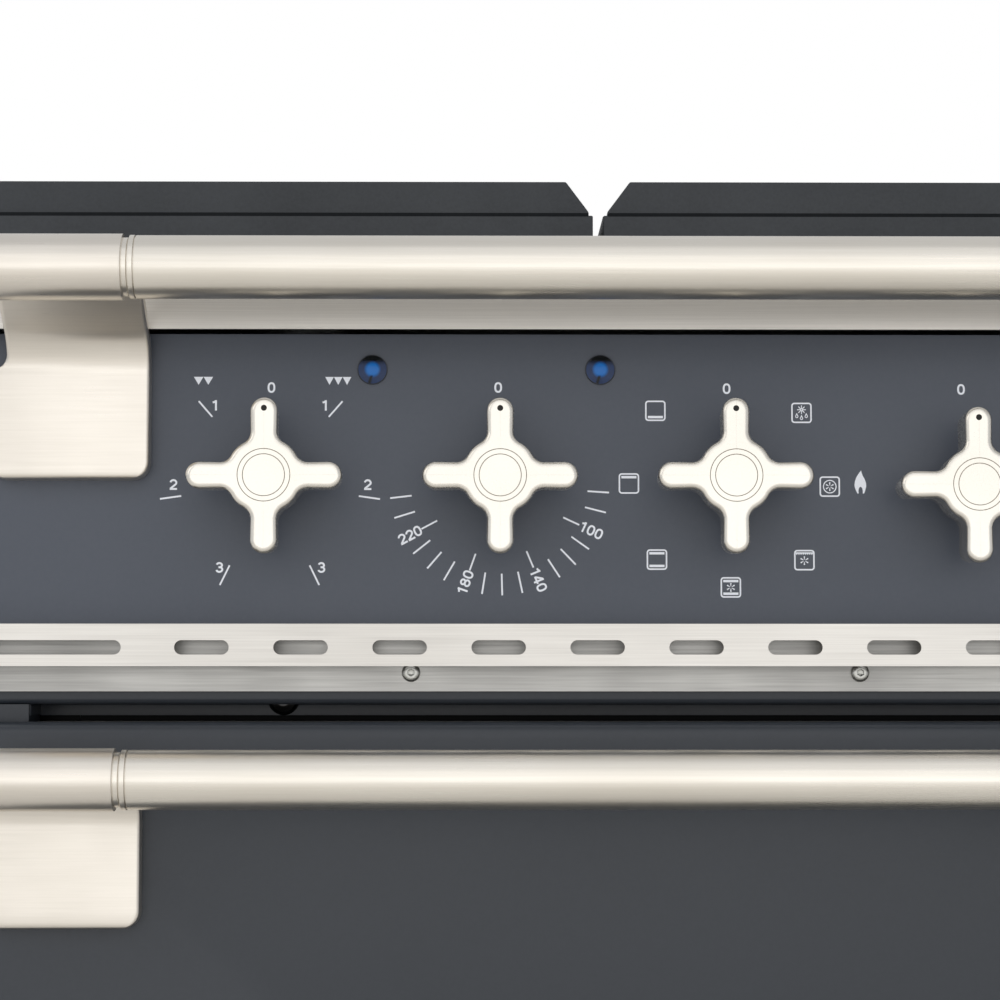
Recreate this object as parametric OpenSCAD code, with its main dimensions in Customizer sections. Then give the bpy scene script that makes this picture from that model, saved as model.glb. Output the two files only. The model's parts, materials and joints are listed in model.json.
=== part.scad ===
// Range cooker: a gas hob with five burners, one wide electric oven and a storage drawer.
// The front faces -Y, X runs to the right and Z is up. The origin is on the floor, in the
// middle of the outline. Sizes are in millimetres. Inside the modules a depth is counted
// from the face of the control panel: behind it is positive, in front of it is negative.

/* [Overall] */
// Width over the side panels
body_w = 920; // [900:1:1000]
// Depth from the control panel face to the rear edges
body_d = 580; // [570:1:640]
// Height of the hob surface above the floor
hob_z = 900; // [890:1:940]
// Height of the adjustable feet
foot_h = 100; // [80:1:110]
// Thickness of the folded sheet metal
sheet = 1.5; // [1.2:0.1:2]
// Running clearance on radius between a shaft and its bore
shaft_gap = 0.05; // [0.03:0.01:0.09]

/* [Control panel] */
// Height of the control panel face
panel_h = 119.5; // [116:0.5:130]
// Depth of the folded edges of the control panel
panel_return = 15; // [12:1:20]
// Height of the oven knob axes below the hob surface
oven_knob_drop = 91.9; // [90:0.1:98]
// How much lower the hob knob axes sit than the oven knob axes
hob_knob_step = 3.5; // [0:0.1:6]
// Centre to centre distance of the three oven knobs
oven_knob_pitch = 93.9; // [80:0.1:95]
// Distance from the last oven knob to the first of the five hob knobs
hob_knob_gap = 96.7; // [88:0.1:100]
// Distance from the side of the cooker to the first knob, and to the last
knob_inset = 126.5; // [110:0.1:135]
// Diameter of the panel holes round the spindles
panel_hole_d = 14; // [12:0.5:18]
// Diameter of the indicator lenses
lens_d = 12.3; // [10:0.1:14]
// Height of the lens centres below the hob surface
lens_drop = 45.2; // [40:0.1:48]
// Distance of a lens centre to the right of its knob axis
lens_offset = 41.6; // [38:0.1:45]

/* [Knobs] */
// Distance over two opposite arms of a knob
knob_d = 61; // [54:0.5:64]
// Width of a knob arm
knob_arm_w = 10; // [8:0.5:12]
// Distance between opposite flats of the knob hub
knob_hub_w = 27.8; // [24:0.2:32]
// Height of the knob face in front of the panel
knob_face = 39.4; // [36:0.2:42]
// Thickness of the knob arms
knob_t = 24.5; // [20:0.5:27]
// Radius of the rounded front edges
knob_edge_r = 2; // [1:0.25:2.5]
// Diameter of the spindles where they enter the knobs
spindle_d = 6; // [5:0.5:8]
// Travel of a hob knob when it is pushed in to light the burner
push_travel = 3; // [2:0.5:5]
// Radius of the index hole from the knob axis
index_r = 26.7; // [20:0.1:27]
// Diameter of the index hole
index_d = 2.4; // [1.5:0.1:3]

/* [Towel rail] */
// Diameter of the rail tube
rail_d = 25; // [20:0.5:28]
// Distance of the rail axis in front of the control panel
rail_reach = 55; // [50:1:60]
// Depth of the rail axis below the hob surface
rail_drop = 11.4; // [8:0.2:16]
// Distance from the side of the cooker to the outer end of a rail sleeve
sleeve_inset = 12; // [8:0.5:20]
// Length of a sleeve
sleeve_l = 60.4; // [50:0.2:70]
// Length of the grooved ferrule between sleeve and tube
ferrule_l = 4.9; // [4:0.1:8]
// Width of the bracket plates
bracket_w = 65.5; // [60:0.5:67]
// Thickness of the bracket plates
bracket_t = 9; // [7:0.5:10]
// Height of the bracket plates below their bend
bracket_h = 41; // [36:0.5:46]
// Distance from the lower edge of the hob down to the bend of the brackets
bracket_drop = 19; // [17:0.5:24]
// Radius of the bend on the front of a bracket
bracket_bend_r = 12; // [8:0.5:16]
// Slope of the bracket necks
bracket_slope = 36; // [30:1:42]
// Width of the bracket necks
neck_w = 58.5; // [50:0.5:60]
// Radius of the lower corners of the bracket plates
bracket_r = 6; // [3:0.5:8]

/* [Door and drawer handles] */
// Diameter of the handle tubes
handle_d = 23; // [20:0.5:25]
// Distance of the handle axes in front of the control panel face
handle_reach = 65; // [62:1:70]
// Depth of the handle axis below the top edge of the door or drawer
handle_drop = 21.8; // [18:0.2:26]
// Distance from the handle axis down to the lower edge of its bracket plates
handle_plate_h = 60; // [50:1:66]
// Distance from the handle axis down to the bend of its brackets
handle_bend_drop = 28; // [26:0.5:34]

/* [Hob] */
// Height of the turned down edges of the hob top
hob_edge_h = 30; // [26:0.5:34]
// Overhang of the hob top in front of the control panel
hob_overhang = 12; // [10:0.5:16]
// Depth of the pressed well in the hob top
well_depth = 8; // [5:0.5:12]
// Width of the rim round the well
well_rim = 16; // [12:1:24]
// Depth of the flue vent along the rear edge
vent_depth = 50; // [40:1:60]
// Height of the flue vent above the hob surface
vent_rise = 22; // [10:1:30]
// Crown radius of the centre burner
wok_r = 62; // [52:1:66]
// Crown radius of the rapid burner
rapid_r = 48; // [42:1:52]
// Crown radius of the two medium burners
medium_r = 36; // [32:1:40]
// Crown radius of the small burner
small_r = 26; // [22:1:30]

/* [Pan supports] */
// Height of the pan supports above the hob surface
support_rise = 39.4; // [36:0.2:44]
// Distance from the cooker centre to the outer edge of the pan supports
support_out = 459.5; // [450:0.5:460]
// Distance from the cooker centre to the middle of the gap between two supports
support_split = 197.3; // [190:0.1:205]
// Gap between neighbouring supports
support_gap = 4.5; // [3:0.1:8]
// Distance from the control panel face back to the front of the supports
support_setback = 30; // [26:1:36]
// Thickness of the front and rear plates
support_plate_t = 7; // [5:0.5:9]
// Distance from the end of a plate to the foot that stands in the well
support_foot_in = 18; // [17:0.5:30]
// Width of a finger
finger_w = 6; // [5:0.5:8]
// Height of the upper chamfered part of the plates
support_upper_h = 14.8; // [12:0.2:18]
// Step by which the lower part of the plates stands out
support_step = 1.7; // [1:0.1:2.5]
// Width of the chamfers on the upper corners
chamfer_w = 9.7; // [6:0.1:12]
// Height of the chamfers on the upper corners
chamfer_h = 13; // [8:0.2:14]

/* [Cooling air outlet] */
// Height of the slotted face
outlet_h = 17.1; // [15:0.1:20]
// Distance of the slotted face in front of the control panel
outlet_proud = 15; // [12:0.5:18]
// Height of the back plate that shows below the slotted face
outlet_skirt_h = 10.1; // [8.5:0.1:14]
// Length of a short slot
slot_l = 22; // [16:0.5:28]
// Height of the slots
slot_h = 5.8; // [4:0.1:8]
// Centre to centre distance of the short slots
slot_pitch = 40; // [36:0.5:44]
// Number of short slots
slot_count = 19; // [15:2:19]
// Length of the long slot at each end
end_slot_l = 57.5; // [40:0.5:58]
// Distance of the long slots from the ends of the outlet
end_slot_inset = 10; // [8:0.5:20]
// Centre to centre distance of the socket screws
screw_pitch = 183.8; // [160:0.2:190]
// Diameter of the screw heads
screw_head_d = 7.6; // [6:0.2:8]

/* [Oven] */
// Width of the cavity
cavity_w = 720; // [660:1:740]
// Space between the rear wall of the cavity and the back panel
back_space = 98.5; // [92:0.5:110]
// Radius of the cavity corners
cavity_r = 18; // [10:1:25]
// Height from the top edge of the door down to the cavity roof
cavity_drop = 42; // [36:1:50]
// Height from the lower edge of the door up to the cavity floor
cavity_rise = 42; // [36:1:50]
// Number of shelf levels
levels = 4; // [3:1:5]
// Diameter of the shelf runner wire
runner_d = 6; // [5:0.5:7]
// Length of the fan motor
motor_l = 55; // [45:1:60]
// Diameter of the fan wheel
fan_d = 150; // [130:1:160]
// Number of fan blades
fan_blades = 10; // [6:1:14]
// Diameter of the heating rods
element_d = 7; // [6:0.5:8]

/* [Door and drawer] */
// Distance of the door face in front of the control panel
door_proud = 18; // [16:0.5:20]
// Gap between the door and the parts next to it
door_gap = 5; // [5:0.5:8]
// Side gap between the door edge and the outside of the cooker
door_inset = 2; // [1:0.5:4]
// Width of the window in the door
window_w = 560; // [480:1:620]
// Height of the window in the door
window_h = 220; // [160:1:240]
// Height of the drawer front
drawer_h = 137; // [120:1:150]
// Depth of the drawer box
drawer_d = 470; // [420:1:480]
// Height of the plinth below the drawer
plinth_h = 18; // [16:1:24]

/* [Hidden] */
$fn = 48;

// Sideways, depth and height references
half_w = body_w / 2;
reach = max(handle_reach + handle_d / 2, rail_reach + rail_d / 2);
front_y = reach - (body_d + reach) / 2;
shadow_gap = 0.5;
seam = 0.25;
hob_under = hob_z - hob_edge_h;
panel_top = hob_under - shadow_gap;
panel_base = panel_top - panel_h;
outlet_top = panel_base - 0.25;
outlet_base = outlet_top - outlet_h;
skirt_base = outlet_base - outlet_skirt_h;
band_h = 5.3;
band_base = skirt_base - band_h;
door_top = band_base - 7;
plinth_top = foot_h + plinth_h;
drawer_base = plinth_top + 2;
drawer_top = drawer_base + drawer_h;
door_base = drawer_top + door_gap;
column_w = 28;
column_set = 2;
frame_set = 30;
frame_back = frame_set + sheet;
back_set = body_d - 30;
rear_flange = 10;

// Control positions
oven_knob_z = hob_z - oven_knob_drop;
hob_knob_z = oven_knob_z - hob_knob_step;
last_knob_x = half_w - knob_inset;
oven_knob_x = [for (i = [0:2]) i * oven_knob_pitch - last_knob_x];
first_hob_x = oven_knob_x[2] + hob_knob_gap;
hob_knob_x = [for (i = [0:4]) first_hob_x + i * (last_knob_x - first_hob_x) / 4];
lens_x = [for (i = [0:1]) oven_knob_x[i] + lens_offset];
spindle_r = spindle_d / 2;
spindle_tip = 34;
knob_bore_end = spindle_tip + 1;
neck_clear = push_travel + 1.2;
neck_r = 11;
knob_fillet_r = 3;
knob_ring_r = [8.35, 10.45];
tap_front = 24;
tap_l = 36;
tap_r = 12;
stem_r = 4;
manifold_w = 16;
manifold_y = tap_front + tap_l;

// Oven positions, with depths from the control panel face
cavity_front = frame_back;
cavity_back = back_set - back_space;
cavity_d = cavity_back - cavity_front;
cavity_wall = 1.5;
cavity_floor = door_base + cavity_rise;
cavity_roof = door_top - cavity_drop;
cavity_h = cavity_roof - cavity_floor;
cavity_mid = (cavity_roof + cavity_floor) / 2;
level_pitch = 58;
level_gap = 16;
level_first = cavity_floor + 50;
runner_x = cavity_w / 2 - 12;
runner_r = runner_d / 2;
shelf_z = level_first + level_pitch + runner_d;
tray_z = level_first + runner_r + 0.1;
fan_r = fan_d / 2;
fan_z = cavity_mid + 8;
ring_r = fan_r + 22;
ring_set = 17;
ring_end_x = 12;
cover_r = ring_r + 22;
cover_depth = 34;
shaft_r = 3;
element_tail = 12;

// Door positions
door_half = half_w - door_inset;
door_rear = 4;
liner_half = half_w - column_w - 4;
liner_back = frame_set - 4;
liner_base = door_base + 16;
pivot_y = 10;
pivot_z = door_base + 8;
pivot_r = 3;
hinge_x = window_w / 2 + 75;
hinge_t = 6;
window_z = door_base + 185;
drawer_half = half_w - column_w - 22;
drawer_floor = plinth_top + 12;
drawer_wall_h = 95;
runner_bar_x = 300;

// Hob positions: x, depth and crown radius of each burner
hob_rear = body_d - vent_depth;
well_z = hob_z - well_depth;
support_top = hob_z + support_rise;
support_mid = support_top - support_upper_h;
support_base = well_z;
support_rear = hob_rear - support_setback;
support_half_d = (support_rear - support_setback) / 2;
support_side_w = support_out - support_split - support_gap / 2;
side_x = support_out - support_side_w / 2;
front_burner_y = support_setback + support_half_d * 0.5;
rear_burner_y = support_setback + support_half_d * 1.5;
mid_burner_y = support_setback + support_half_d;
BURNERS = [[-side_x, front_burner_y, medium_r], [-side_x, rear_burner_y, rapid_r],
    [0, mid_burner_y, wok_r], [side_x, front_burner_y, small_r], [side_x, rear_burner_y, medium_r]];
crown_h = 12;
cap_h = 6;

// Sleeve positions of the rail and the handles
sleeve_out = half_w - sleeve_inset;
sleeve_in = sleeve_out - sleeve_l;

// Places the children with depths counted from the control panel face
module from_panel() {
    translate([0, front_y, 0])
        children();
}

// Turns local Z to the front, with local X and Y as X and Z
module facing_front(x, z, y = 0) {
    translate([x, front_y + y, z])
        rotate([90, 0, 0])
            children();
}

// A box from its limits along X, Y and Z
module block(x, y, z) {
    translate([x[0], y[0], z[0]])
        cube([x[1] - x[0], y[1] - y[0], z[1] - z[0]]);
}

// A round bar along X, Y or Z
module bar_x(x, y, z, r) {
    translate([x[0], y, z])
        rotate([0, 90, 0])
            cylinder(h = x[1] - x[0], r = r);
}

module bar_y(x, y, z, r) {
    translate([x, y[0], z])
        rotate([-90, 0, 0])
            cylinder(h = y[1] - y[0], r = r);
}

module bar_z(x, y, z, r) {
    translate([x, y, z[0]])
        cylinder(h = z[1] - z[0], r = r);
}

// Sweeps a profile drawn in Y and Z along X
module along_x(x) {
    translate([x[0], 0, 0])
        rotate([90, 0, 90])
            linear_extrude(x[1] - x[0])
                children();
}

// Sweeps a profile drawn in X and Z along Y
module along_y(y) {
    translate([0, y[1], 0])
        rotate([90, 0, 0])
            linear_extrude(y[1] - y[0])
                children();
}

// Keeps the children and adds their mirror image across the cooker
module both_sides() {
    children();
    mirror([1, 0, 0])
        children();
}

// Points on an arc about c, from angle a to angle b in n steps
function arc(c, r, a, b, n = 6) =
    [for (i = [0:n]) c + r * [cos(a + (b - a) * i / n), sin(a + (b - a) * i / n)]];

// A rectangle with round corners, centred
module rounded_rect(w, h, r) {
    square([w - 2 * r, h], center = true);
    square([w, h - 2 * r], center = true);
    for (sx = [-1, 1], sy = [-1, 1])
        translate([sx * (w / 2 - r), sy * (h / 2 - r)])
            circle(r);
}

// A slot with round ends along X, centred
module slot_2d(l, h) {
    square([l - h, h], center = true);
    for (s = [-1, 1])
        translate([s * (l - h) / 2, 0])
            circle(h / 2);
}

// Folded side panel: flat sheet, front column with its return, and a rear flange
module side_panel() {
    from_panel() difference() {
        union() {
            block([half_w - sheet, half_w], [column_set, body_d], [foot_h, hob_under]);
            block([half_w - column_w, half_w], [column_set, column_set + sheet], [foot_h, band_base]);
            block([half_w - column_w, half_w - column_w + sheet], [column_set, frame_set],
                [foot_h, band_base]);
            block([half_w - rear_flange, half_w], [body_d - sheet, body_d], [foot_h, hob_under]);
        }
        block([half_w - column_w - 1, half_w + 1], [-1, panel_return], [band_base, hob_under + 1]);
        block([half_w - column_w - 1, half_w - sheet], [column_set - 1, frame_set + 1],
            [foot_h - 1, plinth_top]);
    }
}

module side_panel_left() {
    color("#3f4349") mirror([1, 0, 0]) side_panel();
}

module side_panel_right() {
    color("#3f4349") side_panel();
}

// Back panel with louvres, the gas and cable entries and two fixing holes
inlet_x = half_w - 70;
inlet_z = hob_z - 75;
inlet_hole_r = 15;
cable_x = -inlet_x;
cable_z = foot_h + 90;
cable_r = 10;
fixing_x = half_w - 110;
fixing_z = foot_h + 45;
fixing_r = 4;
module back_panel() {
    color("#9a9da0") from_panel() difference() {
        along_y([back_set, back_set + sheet])
            translate([0, (foot_h + hob_under) / 2])
                square([body_w - 2 * sheet, hob_under - foot_h], center = true);
        bar_y(inlet_x, [back_set - 1, back_set + sheet + 1], inlet_z, inlet_hole_r);
        bar_y(cable_x, [back_set - 1, back_set + sheet + 1], cable_z, cable_r);
        for (s = [-1, 1])
            bar_y(s * fixing_x, [back_set - 1, back_set + sheet + 1], fixing_z, fixing_r);
        for (i = [0:5], s = [-1, 0, 1])
            along_y([back_set - 1, back_set + sheet + 1])
                translate([s * 200, fan_z + (i - 2.5) * 22])
                    slot_2d(120, 5);
    }
}

// Floor pan with its upstand, the plinth face and the two bars that the drawer slides on
module base_frame() {
    bar_top = drawer_floor - 0.3;
    color("#33363a") from_panel() difference() {
        union() {
            block([-half_w + sheet, half_w - sheet], [column_set, back_set], [foot_h, foot_h + sheet]);
            block([-half_w + sheet, half_w - sheet], [column_set, column_set + sheet],
                [foot_h, plinth_top]);
            both_sides() {
                block([half_w - 2 * sheet, half_w - sheet], [frame_back, back_set],
                    [foot_h, plinth_top]);
                along_x([runner_bar_x - 12, runner_bar_x + 12])
                    polygon([[frame_back + 6, foot_h], [back_set - 20, foot_h],
                        [back_set - 20, bar_top], [frame_back + 12, bar_top],
                        [frame_back + 6, bar_top - 6]]);
            }
            block([-half_w + sheet, half_w - sheet], [back_set - sheet, back_set],
                [foot_h, plinth_top]);
        }
        both_sides()
            block([runner_bar_x - 12 + sheet, runner_bar_x + 12 - sheet],
                [frame_back + 6 + sheet, back_set - 20 - sheet], [foot_h + sheet, bar_top - sheet]);
    }
}

// Four adjustable feet with a collar and a wide pad
foot_x = half_w - 52;
foot_front = 62;
foot_back = back_set - 62;
module feet() {
    color("#b9b6ae") from_panel()
        for (sx = [-1, 1], y = [foot_front, foot_back])
            translate([sx * foot_x, y, 0])
                rotate_extrude()
                    polygon([[0, 0], [25, 0], [25, 6], [23, 9], [16, 11], [16, foot_h * 0.55],
                        [19, foot_h * 0.55 + 2], [19, foot_h - 5], [22, foot_h - 3], [22, foot_h],
                        [0, foot_h]]);
}

// Enamelled front frame: two columns, and between them the plate round the oven mouth and the
// sill under the drawer, with a seam at each end
module front_frame() {
    mouth_half = drawer_half + 5;
    inner = mouth_half - seam;
    color("#1b1c1e") from_panel() {
        both_sides()
            block([mouth_half, half_w - sheet], [frame_set, frame_back], [plinth_top, band_base]);
        block([-inner, inner], [frame_set, frame_back], [plinth_top, drawer_base + 6]);
        difference() {
            along_y([frame_set, frame_back]) difference() {
                polygon([[-inner, drawer_top - 10], [inner, drawer_top - 10],
                    [inner, band_base], [-inner, band_base]]);
                translate([0, cavity_mid])
                    rounded_rect(cavity_w, cavity_h, cavity_r);
            }
            for (s = [-1, 1])
                block([s * hinge_x - 4, s * hinge_x + 4], [frame_set - 1, frame_back + 1],
                    [pivot_z - 3, pivot_z + 3]);
        }
    }
}

// Painted rail above the door, with a rounded lower edge
module cross_rail() {
    r = 2.5;
    color("#3f4349") from_panel()
        along_x([-half_w + column_w, half_w - column_w]) {
            translate([column_set + r, band_base + r])
                circle(r);
            polygon([[column_set, band_base + r], [column_set + r, band_base],
                [column_set + 2 * r, band_base + r], [column_set + 2 * r, skirt_base - sheet],
                [frame_back, skirt_base - sheet], [frame_back, skirt_base],
                [column_set, skirt_base]]);
        }
}

// Control panel: a folded tray with holes for eight spindles and two lamps
module control_panel() {
    color("#54575f") from_panel() difference() {
        block([-half_w, half_w], [0, panel_return], [panel_base, panel_top]);
        block([-half_w + sheet, half_w - sheet], [sheet, panel_return + 1],
            [panel_base + sheet, panel_top - sheet]);
        for (x = oven_knob_x)
            bar_y(x, [-1, sheet + 1], oven_knob_z, panel_hole_d / 2);
        for (x = hob_knob_x)
            bar_y(x, [-1, sheet + 1], hob_knob_z, panel_hole_d / 2);
        for (x = lens_x)
            bar_y(x, [-1, sheet + 1], hob_z - lens_drop, lens_d / 2 - 1);
    }
}

// Hob top: a pressed tray with turned down edges and five burner openings
module hob_top() {
    r = 4;
    depth = hob_rear + hob_overhang;
    well_d = depth - 2 * well_rim;
    well_w = body_w - 2 * well_rim;
    color("#b7b5b0") from_panel() difference() {
        along_x([-half_w, half_w]) difference() {
            union() {
                translate([-hob_overhang + r, hob_z - r]) circle(r);
                polygon([[-hob_overhang, hob_under], [-hob_overhang, hob_z - r],
                    [-hob_overhang + r, hob_z], [hob_rear, hob_z], [hob_rear, hob_under]]);
            }
            polygon([[-hob_overhang + sheet, hob_under - 1], [-hob_overhang + sheet, hob_z - r],
                [-hob_overhang + r, well_z - sheet], [hob_rear - sheet, well_z - sheet],
                [hob_rear - sheet, hob_under - 1]]);
        }
        translate([0, depth / 2 - hob_overhang, well_z])
            linear_extrude(well_depth + 1)
                rounded_rect(well_w, well_d, 20);
        for (b = BURNERS)
            bar_z(b[0], b[1], [well_z - 2 * sheet, well_z + 1], b[2] - 6);
    }
    color("#b7b5b0") from_panel() both_sides()
        block([half_w - sheet, half_w], [-hob_overhang + sheet, hob_rear - sheet],
            [hob_under, well_z - sheet]);
}

// Flue vent along the rear edge, with a row of slots in its sloping top
module rear_vent() {
    top = hob_z + vent_rise;
    color("#b7b5b0") from_panel() difference() {
        along_x([-half_w, half_w]) difference() {
            polygon([[hob_rear, hob_under], [hob_rear, top - 6], [hob_rear + 6, top],
                [body_d, top], [body_d, hob_under]]);
            polygon([[hob_rear + sheet, hob_under - 1], [hob_rear + sheet, top - 6 - sheet],
                [hob_rear + 6 + sheet, top - sheet], [body_d - sheet, top - sheet],
                [body_d - sheet, hob_under - 1]]);
        }
        for (i = [-8:8])
            translate([i * 46, (hob_rear + body_d) / 2 + 3, top - 2 * sheet])
                linear_extrude(3 * sheet)
                    slot_2d(34, 8);
    }
    color("#b7b5b0") from_panel() both_sides()
        along_x([half_w - sheet, half_w])
            polygon([[hob_rear + sheet, hob_under], [hob_rear + sheet, top - 6 - sheet],
                [hob_rear + 6 + sheet, top - sheet], [body_d - sheet, top - sheet],
                [body_d - sheet, hob_under]]);
}

// Slotted cooling air outlet: a folded strip with nineteen short and two long slots
module air_outlet() {
    slot_z = (outlet_base + outlet_top) / 2 - 1;
    span = (slot_count - 1) / 2;
    end_x = half_w - end_slot_inset - end_slot_l / 2;
    color("#b7b5b0") from_panel() difference() {
        union() {
            along_x([-half_w, half_w])
                polygon([[-outlet_proud, outlet_base], [-outlet_proud, outlet_top],
                    [0, outlet_top], [0, outlet_top - sheet], [-outlet_proud + sheet, outlet_top - sheet],
                    [-outlet_proud + sheet, outlet_base]]);
            both_sides()
                block([half_w - sheet, half_w], [-outlet_proud, 0], [outlet_base, outlet_top]);
        }
        along_y([-outlet_proud - 1, -outlet_proud + sheet + 1]) {
            for (i = [-span:span])
                translate([i * slot_pitch, slot_z])
                    slot_2d(slot_l, slot_h);
            for (s = [-1, 1])
                translate([s * end_x, slot_z])
                    slot_2d(end_slot_l, slot_h);
        }
    }
}

// Plate behind the outlet, with four tapped holes for its screws
screw_x = [for (i = [-1.5:1.5]) i * screw_pitch];
screw_drop = 2.5;
screw_z = outlet_base - screw_drop;
screw_r = 2;
module outlet_back_plate() {
    color("#a9a8a4") from_panel() difference() {
        block([-half_w, half_w], [0, sheet], [skirt_base, outlet_top]);
        for (x = screw_x)
            bar_y(x, [-1, sheet + 1], screw_z, screw_r + shaft_gap);
    }
}

// Four button head screws with hexagon sockets
module outlet_screws() {
    head_h = 2.2;
    color("#c9c7c2")
        for (x = screw_x)
            facing_front(x, screw_z) difference() {
                rotate_extrude()
                    polygon([[0, -10], [screw_r, -10], [screw_r, 0], [screw_head_d / 2, 0],
                        [screw_head_d / 2, 0.6], [screw_head_d / 2 - 1.4, head_h], [0, head_h]]);
                translate([0, 0, head_h - 1.3])
                    cylinder(h = 2, r = 1.4, $fn = 6);
            }
}

// Two domed lenses, each with a collar on the panel and a shank through it
module indicator_lamps() {
    r = lens_d / 2;
    color("#2f7fc4")
        for (x = lens_x)
            facing_front(x, hob_z - lens_drop)
                rotate_extrude() {
                    polygon([[0, -16], [r - 1.1, -16], [r - 1.1, 0], [r, 0], [r, 0.8], [r - 0.9, 1.2],
                        [0, 1.2]]);
                    intersection() {
                        translate([0, -4.4])
                            circle(r + 1);
                        square([r - 0.9, 10]);
                    }
                }
}

// Two rubber buffers that the door closes against
module door_buffers() {
    buffer_x = 325.9;
    buffer_r = 6;
    buffer_drop = 5.5;
    color("#161616")
        for (s = [-1, 1])
            facing_front(s * buffer_x, door_top - buffer_drop, frame_set)
                rotate_extrude()
                    polygon([[0, 0], [buffer_r, 0], [buffer_r, 2.2], [buffer_r - 1.4, 3.6], [0, 3.6]]);
}

// Tube of a rail or handle: grooved ferrules at both ends and spigots that enter the sleeves
spigot_l = 18;
grip_wall = 1.6;
sleeve_wrap = 0.6;
module grip_tube(d, inner) {
    r = d / 2;
    half = [[r - grip_wall, 0], [r - grip_wall, inner - 12], [r - 4.5, inner - 12],
        [r - 4.5, inner + spigot_l], [r - 3, inner + spigot_l], [r - 3, inner], [r - 1.2, inner],
        [r - 1.2, inner - 2], [r - 2, inner - 2], [r - 2, inner - 2.5], [r, inner - 2.5],
        [r, inner - ferrule_l + 0.4], [r - 0.6, inner - ferrule_l + 0.4],
        [r - 0.6, inner - ferrule_l], [r, inner - ferrule_l]];
    rotate([0, 90, 0])
        rotate_extrude()
            polygon(concat(half, [for (i = [len(half) - 1:-1:1]) [half[i][0], -half[i][1]]]));
}

// Sleeve that takes the end of a rail or handle, with a domed outer end
module grip_sleeve(d, inner, outer) {
    r = d / 2 + sleeve_wrap;
    rotate([0, 90, 0])
        rotate_extrude()
            polygon([[r - 3.5, inner], [r, inner], [r, outer - 4], [r - 1.2, outer - 1.2],
                [r - 4, outer], [0, outer], [0, inner + spigot_l + 1],
                [r - 3.5, inner + spigot_l + 1]]);
}

// The point at depth y on the line that rises forward from p at the slope of the necks
function along_neck(p, y) = [y, p[1] + (p[0] - y) * tan(bracket_slope)];

// Side view of a bracket: a plate on its panel that bends forward and runs up into the sleeve
module bracket_profile(face, low, bend, axis_y, rear_r) {
    end_y = axis_y + 6;
    turn = 90 - bracket_slope;
    rear = arc([face - rear_r, bend], rear_r, 0, turn);
    front = arc([face - bracket_t - bracket_bend_r, bend], bracket_bend_r, turn, 0);
    polygon(concat([[face, low]], rear, [along_neck(rear[len(rear) - 1], end_y),
        along_neck(front[0], end_y)], front, [[face - bracket_t, low]]));
}

// Front view of a bracket: a plate with round corners and a narrower neck above it
module bracket_front(inner, outer, neck, low, high, top) {
    r = bracket_r;
    hollow = (outer - neck) * 2 / 3;
    crest = outer - neck - hollow;
    polygon(concat(arc([inner + r, low + r], r, 180, 270), arc([outer - r, low + r], r, 270, 360),
        arc([outer - crest, high - crest], crest, 0, 90),
        arc([neck + hollow, high + hollow], hollow, 270, 180), [[neck, top], [inner, top]]));
}

// Polished towel rail across the front of the hob
module rail_tube() {
    color("#cfc8b8") from_panel()
        translate([0, -rail_reach, hob_z - rail_drop])
            grip_tube(rail_d, sleeve_in);
}

// Pair of cast brackets: wide plate, narrower neck and a sleeve for the rail
module rail_brackets() {
    axis_z = hob_z - rail_drop;
    bend = hob_under - bracket_drop;
    low = bend - bracket_h;
    inner = sleeve_out - bracket_w;
    sleeve_r = rail_d / 2 + sleeve_wrap;
    rear_r = bracket_bend_r + 4.5;
    color("#cfc8b8") from_panel() both_sides() {
        translate([0, -rail_reach, axis_z])
            grip_sleeve(rail_d, sleeve_in, sleeve_out);
        difference() {
            intersection() {
                along_x([inner, sleeve_out])
                    bracket_profile(0, low, bend, -rail_reach, rear_r);
                along_y([-rail_reach - rail_d, 1])
                    bracket_front(inner, sleeve_out, inner + neck_w, low, bend, axis_z + rail_d);
            }
            block([inner - 1, sleeve_in + 0.01], [-rail_reach - rail_d, -rail_reach + rail_d / 2 + 0.3],
                [axis_z - rail_d * 0.62, axis_z + rail_d]);
            bar_x([0, half_w], -rail_reach, axis_z, sleeve_r);
        }
    }
}

// Oven liner: five walls with round corners and a flange behind the front frame
lamp_x = 70 - cavity_w / 2;
lamp_z = cavity_roof - 60;
module oven_cavity() {
    wall = cavity_wall;
    rear = [cavity_back - 1, cavity_back + wall + 1];
    color("#26272b") from_panel() difference() {
        along_y([cavity_front, cavity_back + wall])
            translate([0, cavity_mid])
                rounded_rect(cavity_w + 2 * wall, cavity_h + 2 * wall, cavity_r + wall);
        along_y([cavity_front - 1, cavity_back])
            translate([0, cavity_mid])
                rounded_rect(cavity_w, cavity_h, cavity_r);
        bar_y(0, rear, fan_z, shaft_r + 2);
        bar_y(lamp_x, rear, lamp_z, 20);
        for (s = [-1, 1]) {
            bar_y(s * grill_leg_x, rear, grill_z, element_d / 2 + 1);
            bar_y(s * ring_end_x, rear, fan_z + ring_r, element_d / 2 + 1);
        }
    }
}

// Woven seal round the oven mouth
module door_seal() {
    color("#5a5a58") from_panel()
        along_y([liner_back + 0.3, frame_set])
            translate([0, cavity_mid])
                difference() {
                    rounded_rect(cavity_w + 28, cavity_h + 28, cavity_r + 14);
                    rounded_rect(cavity_w + 12, cavity_h + 12, cavity_r + 6);
                }
}

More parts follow.
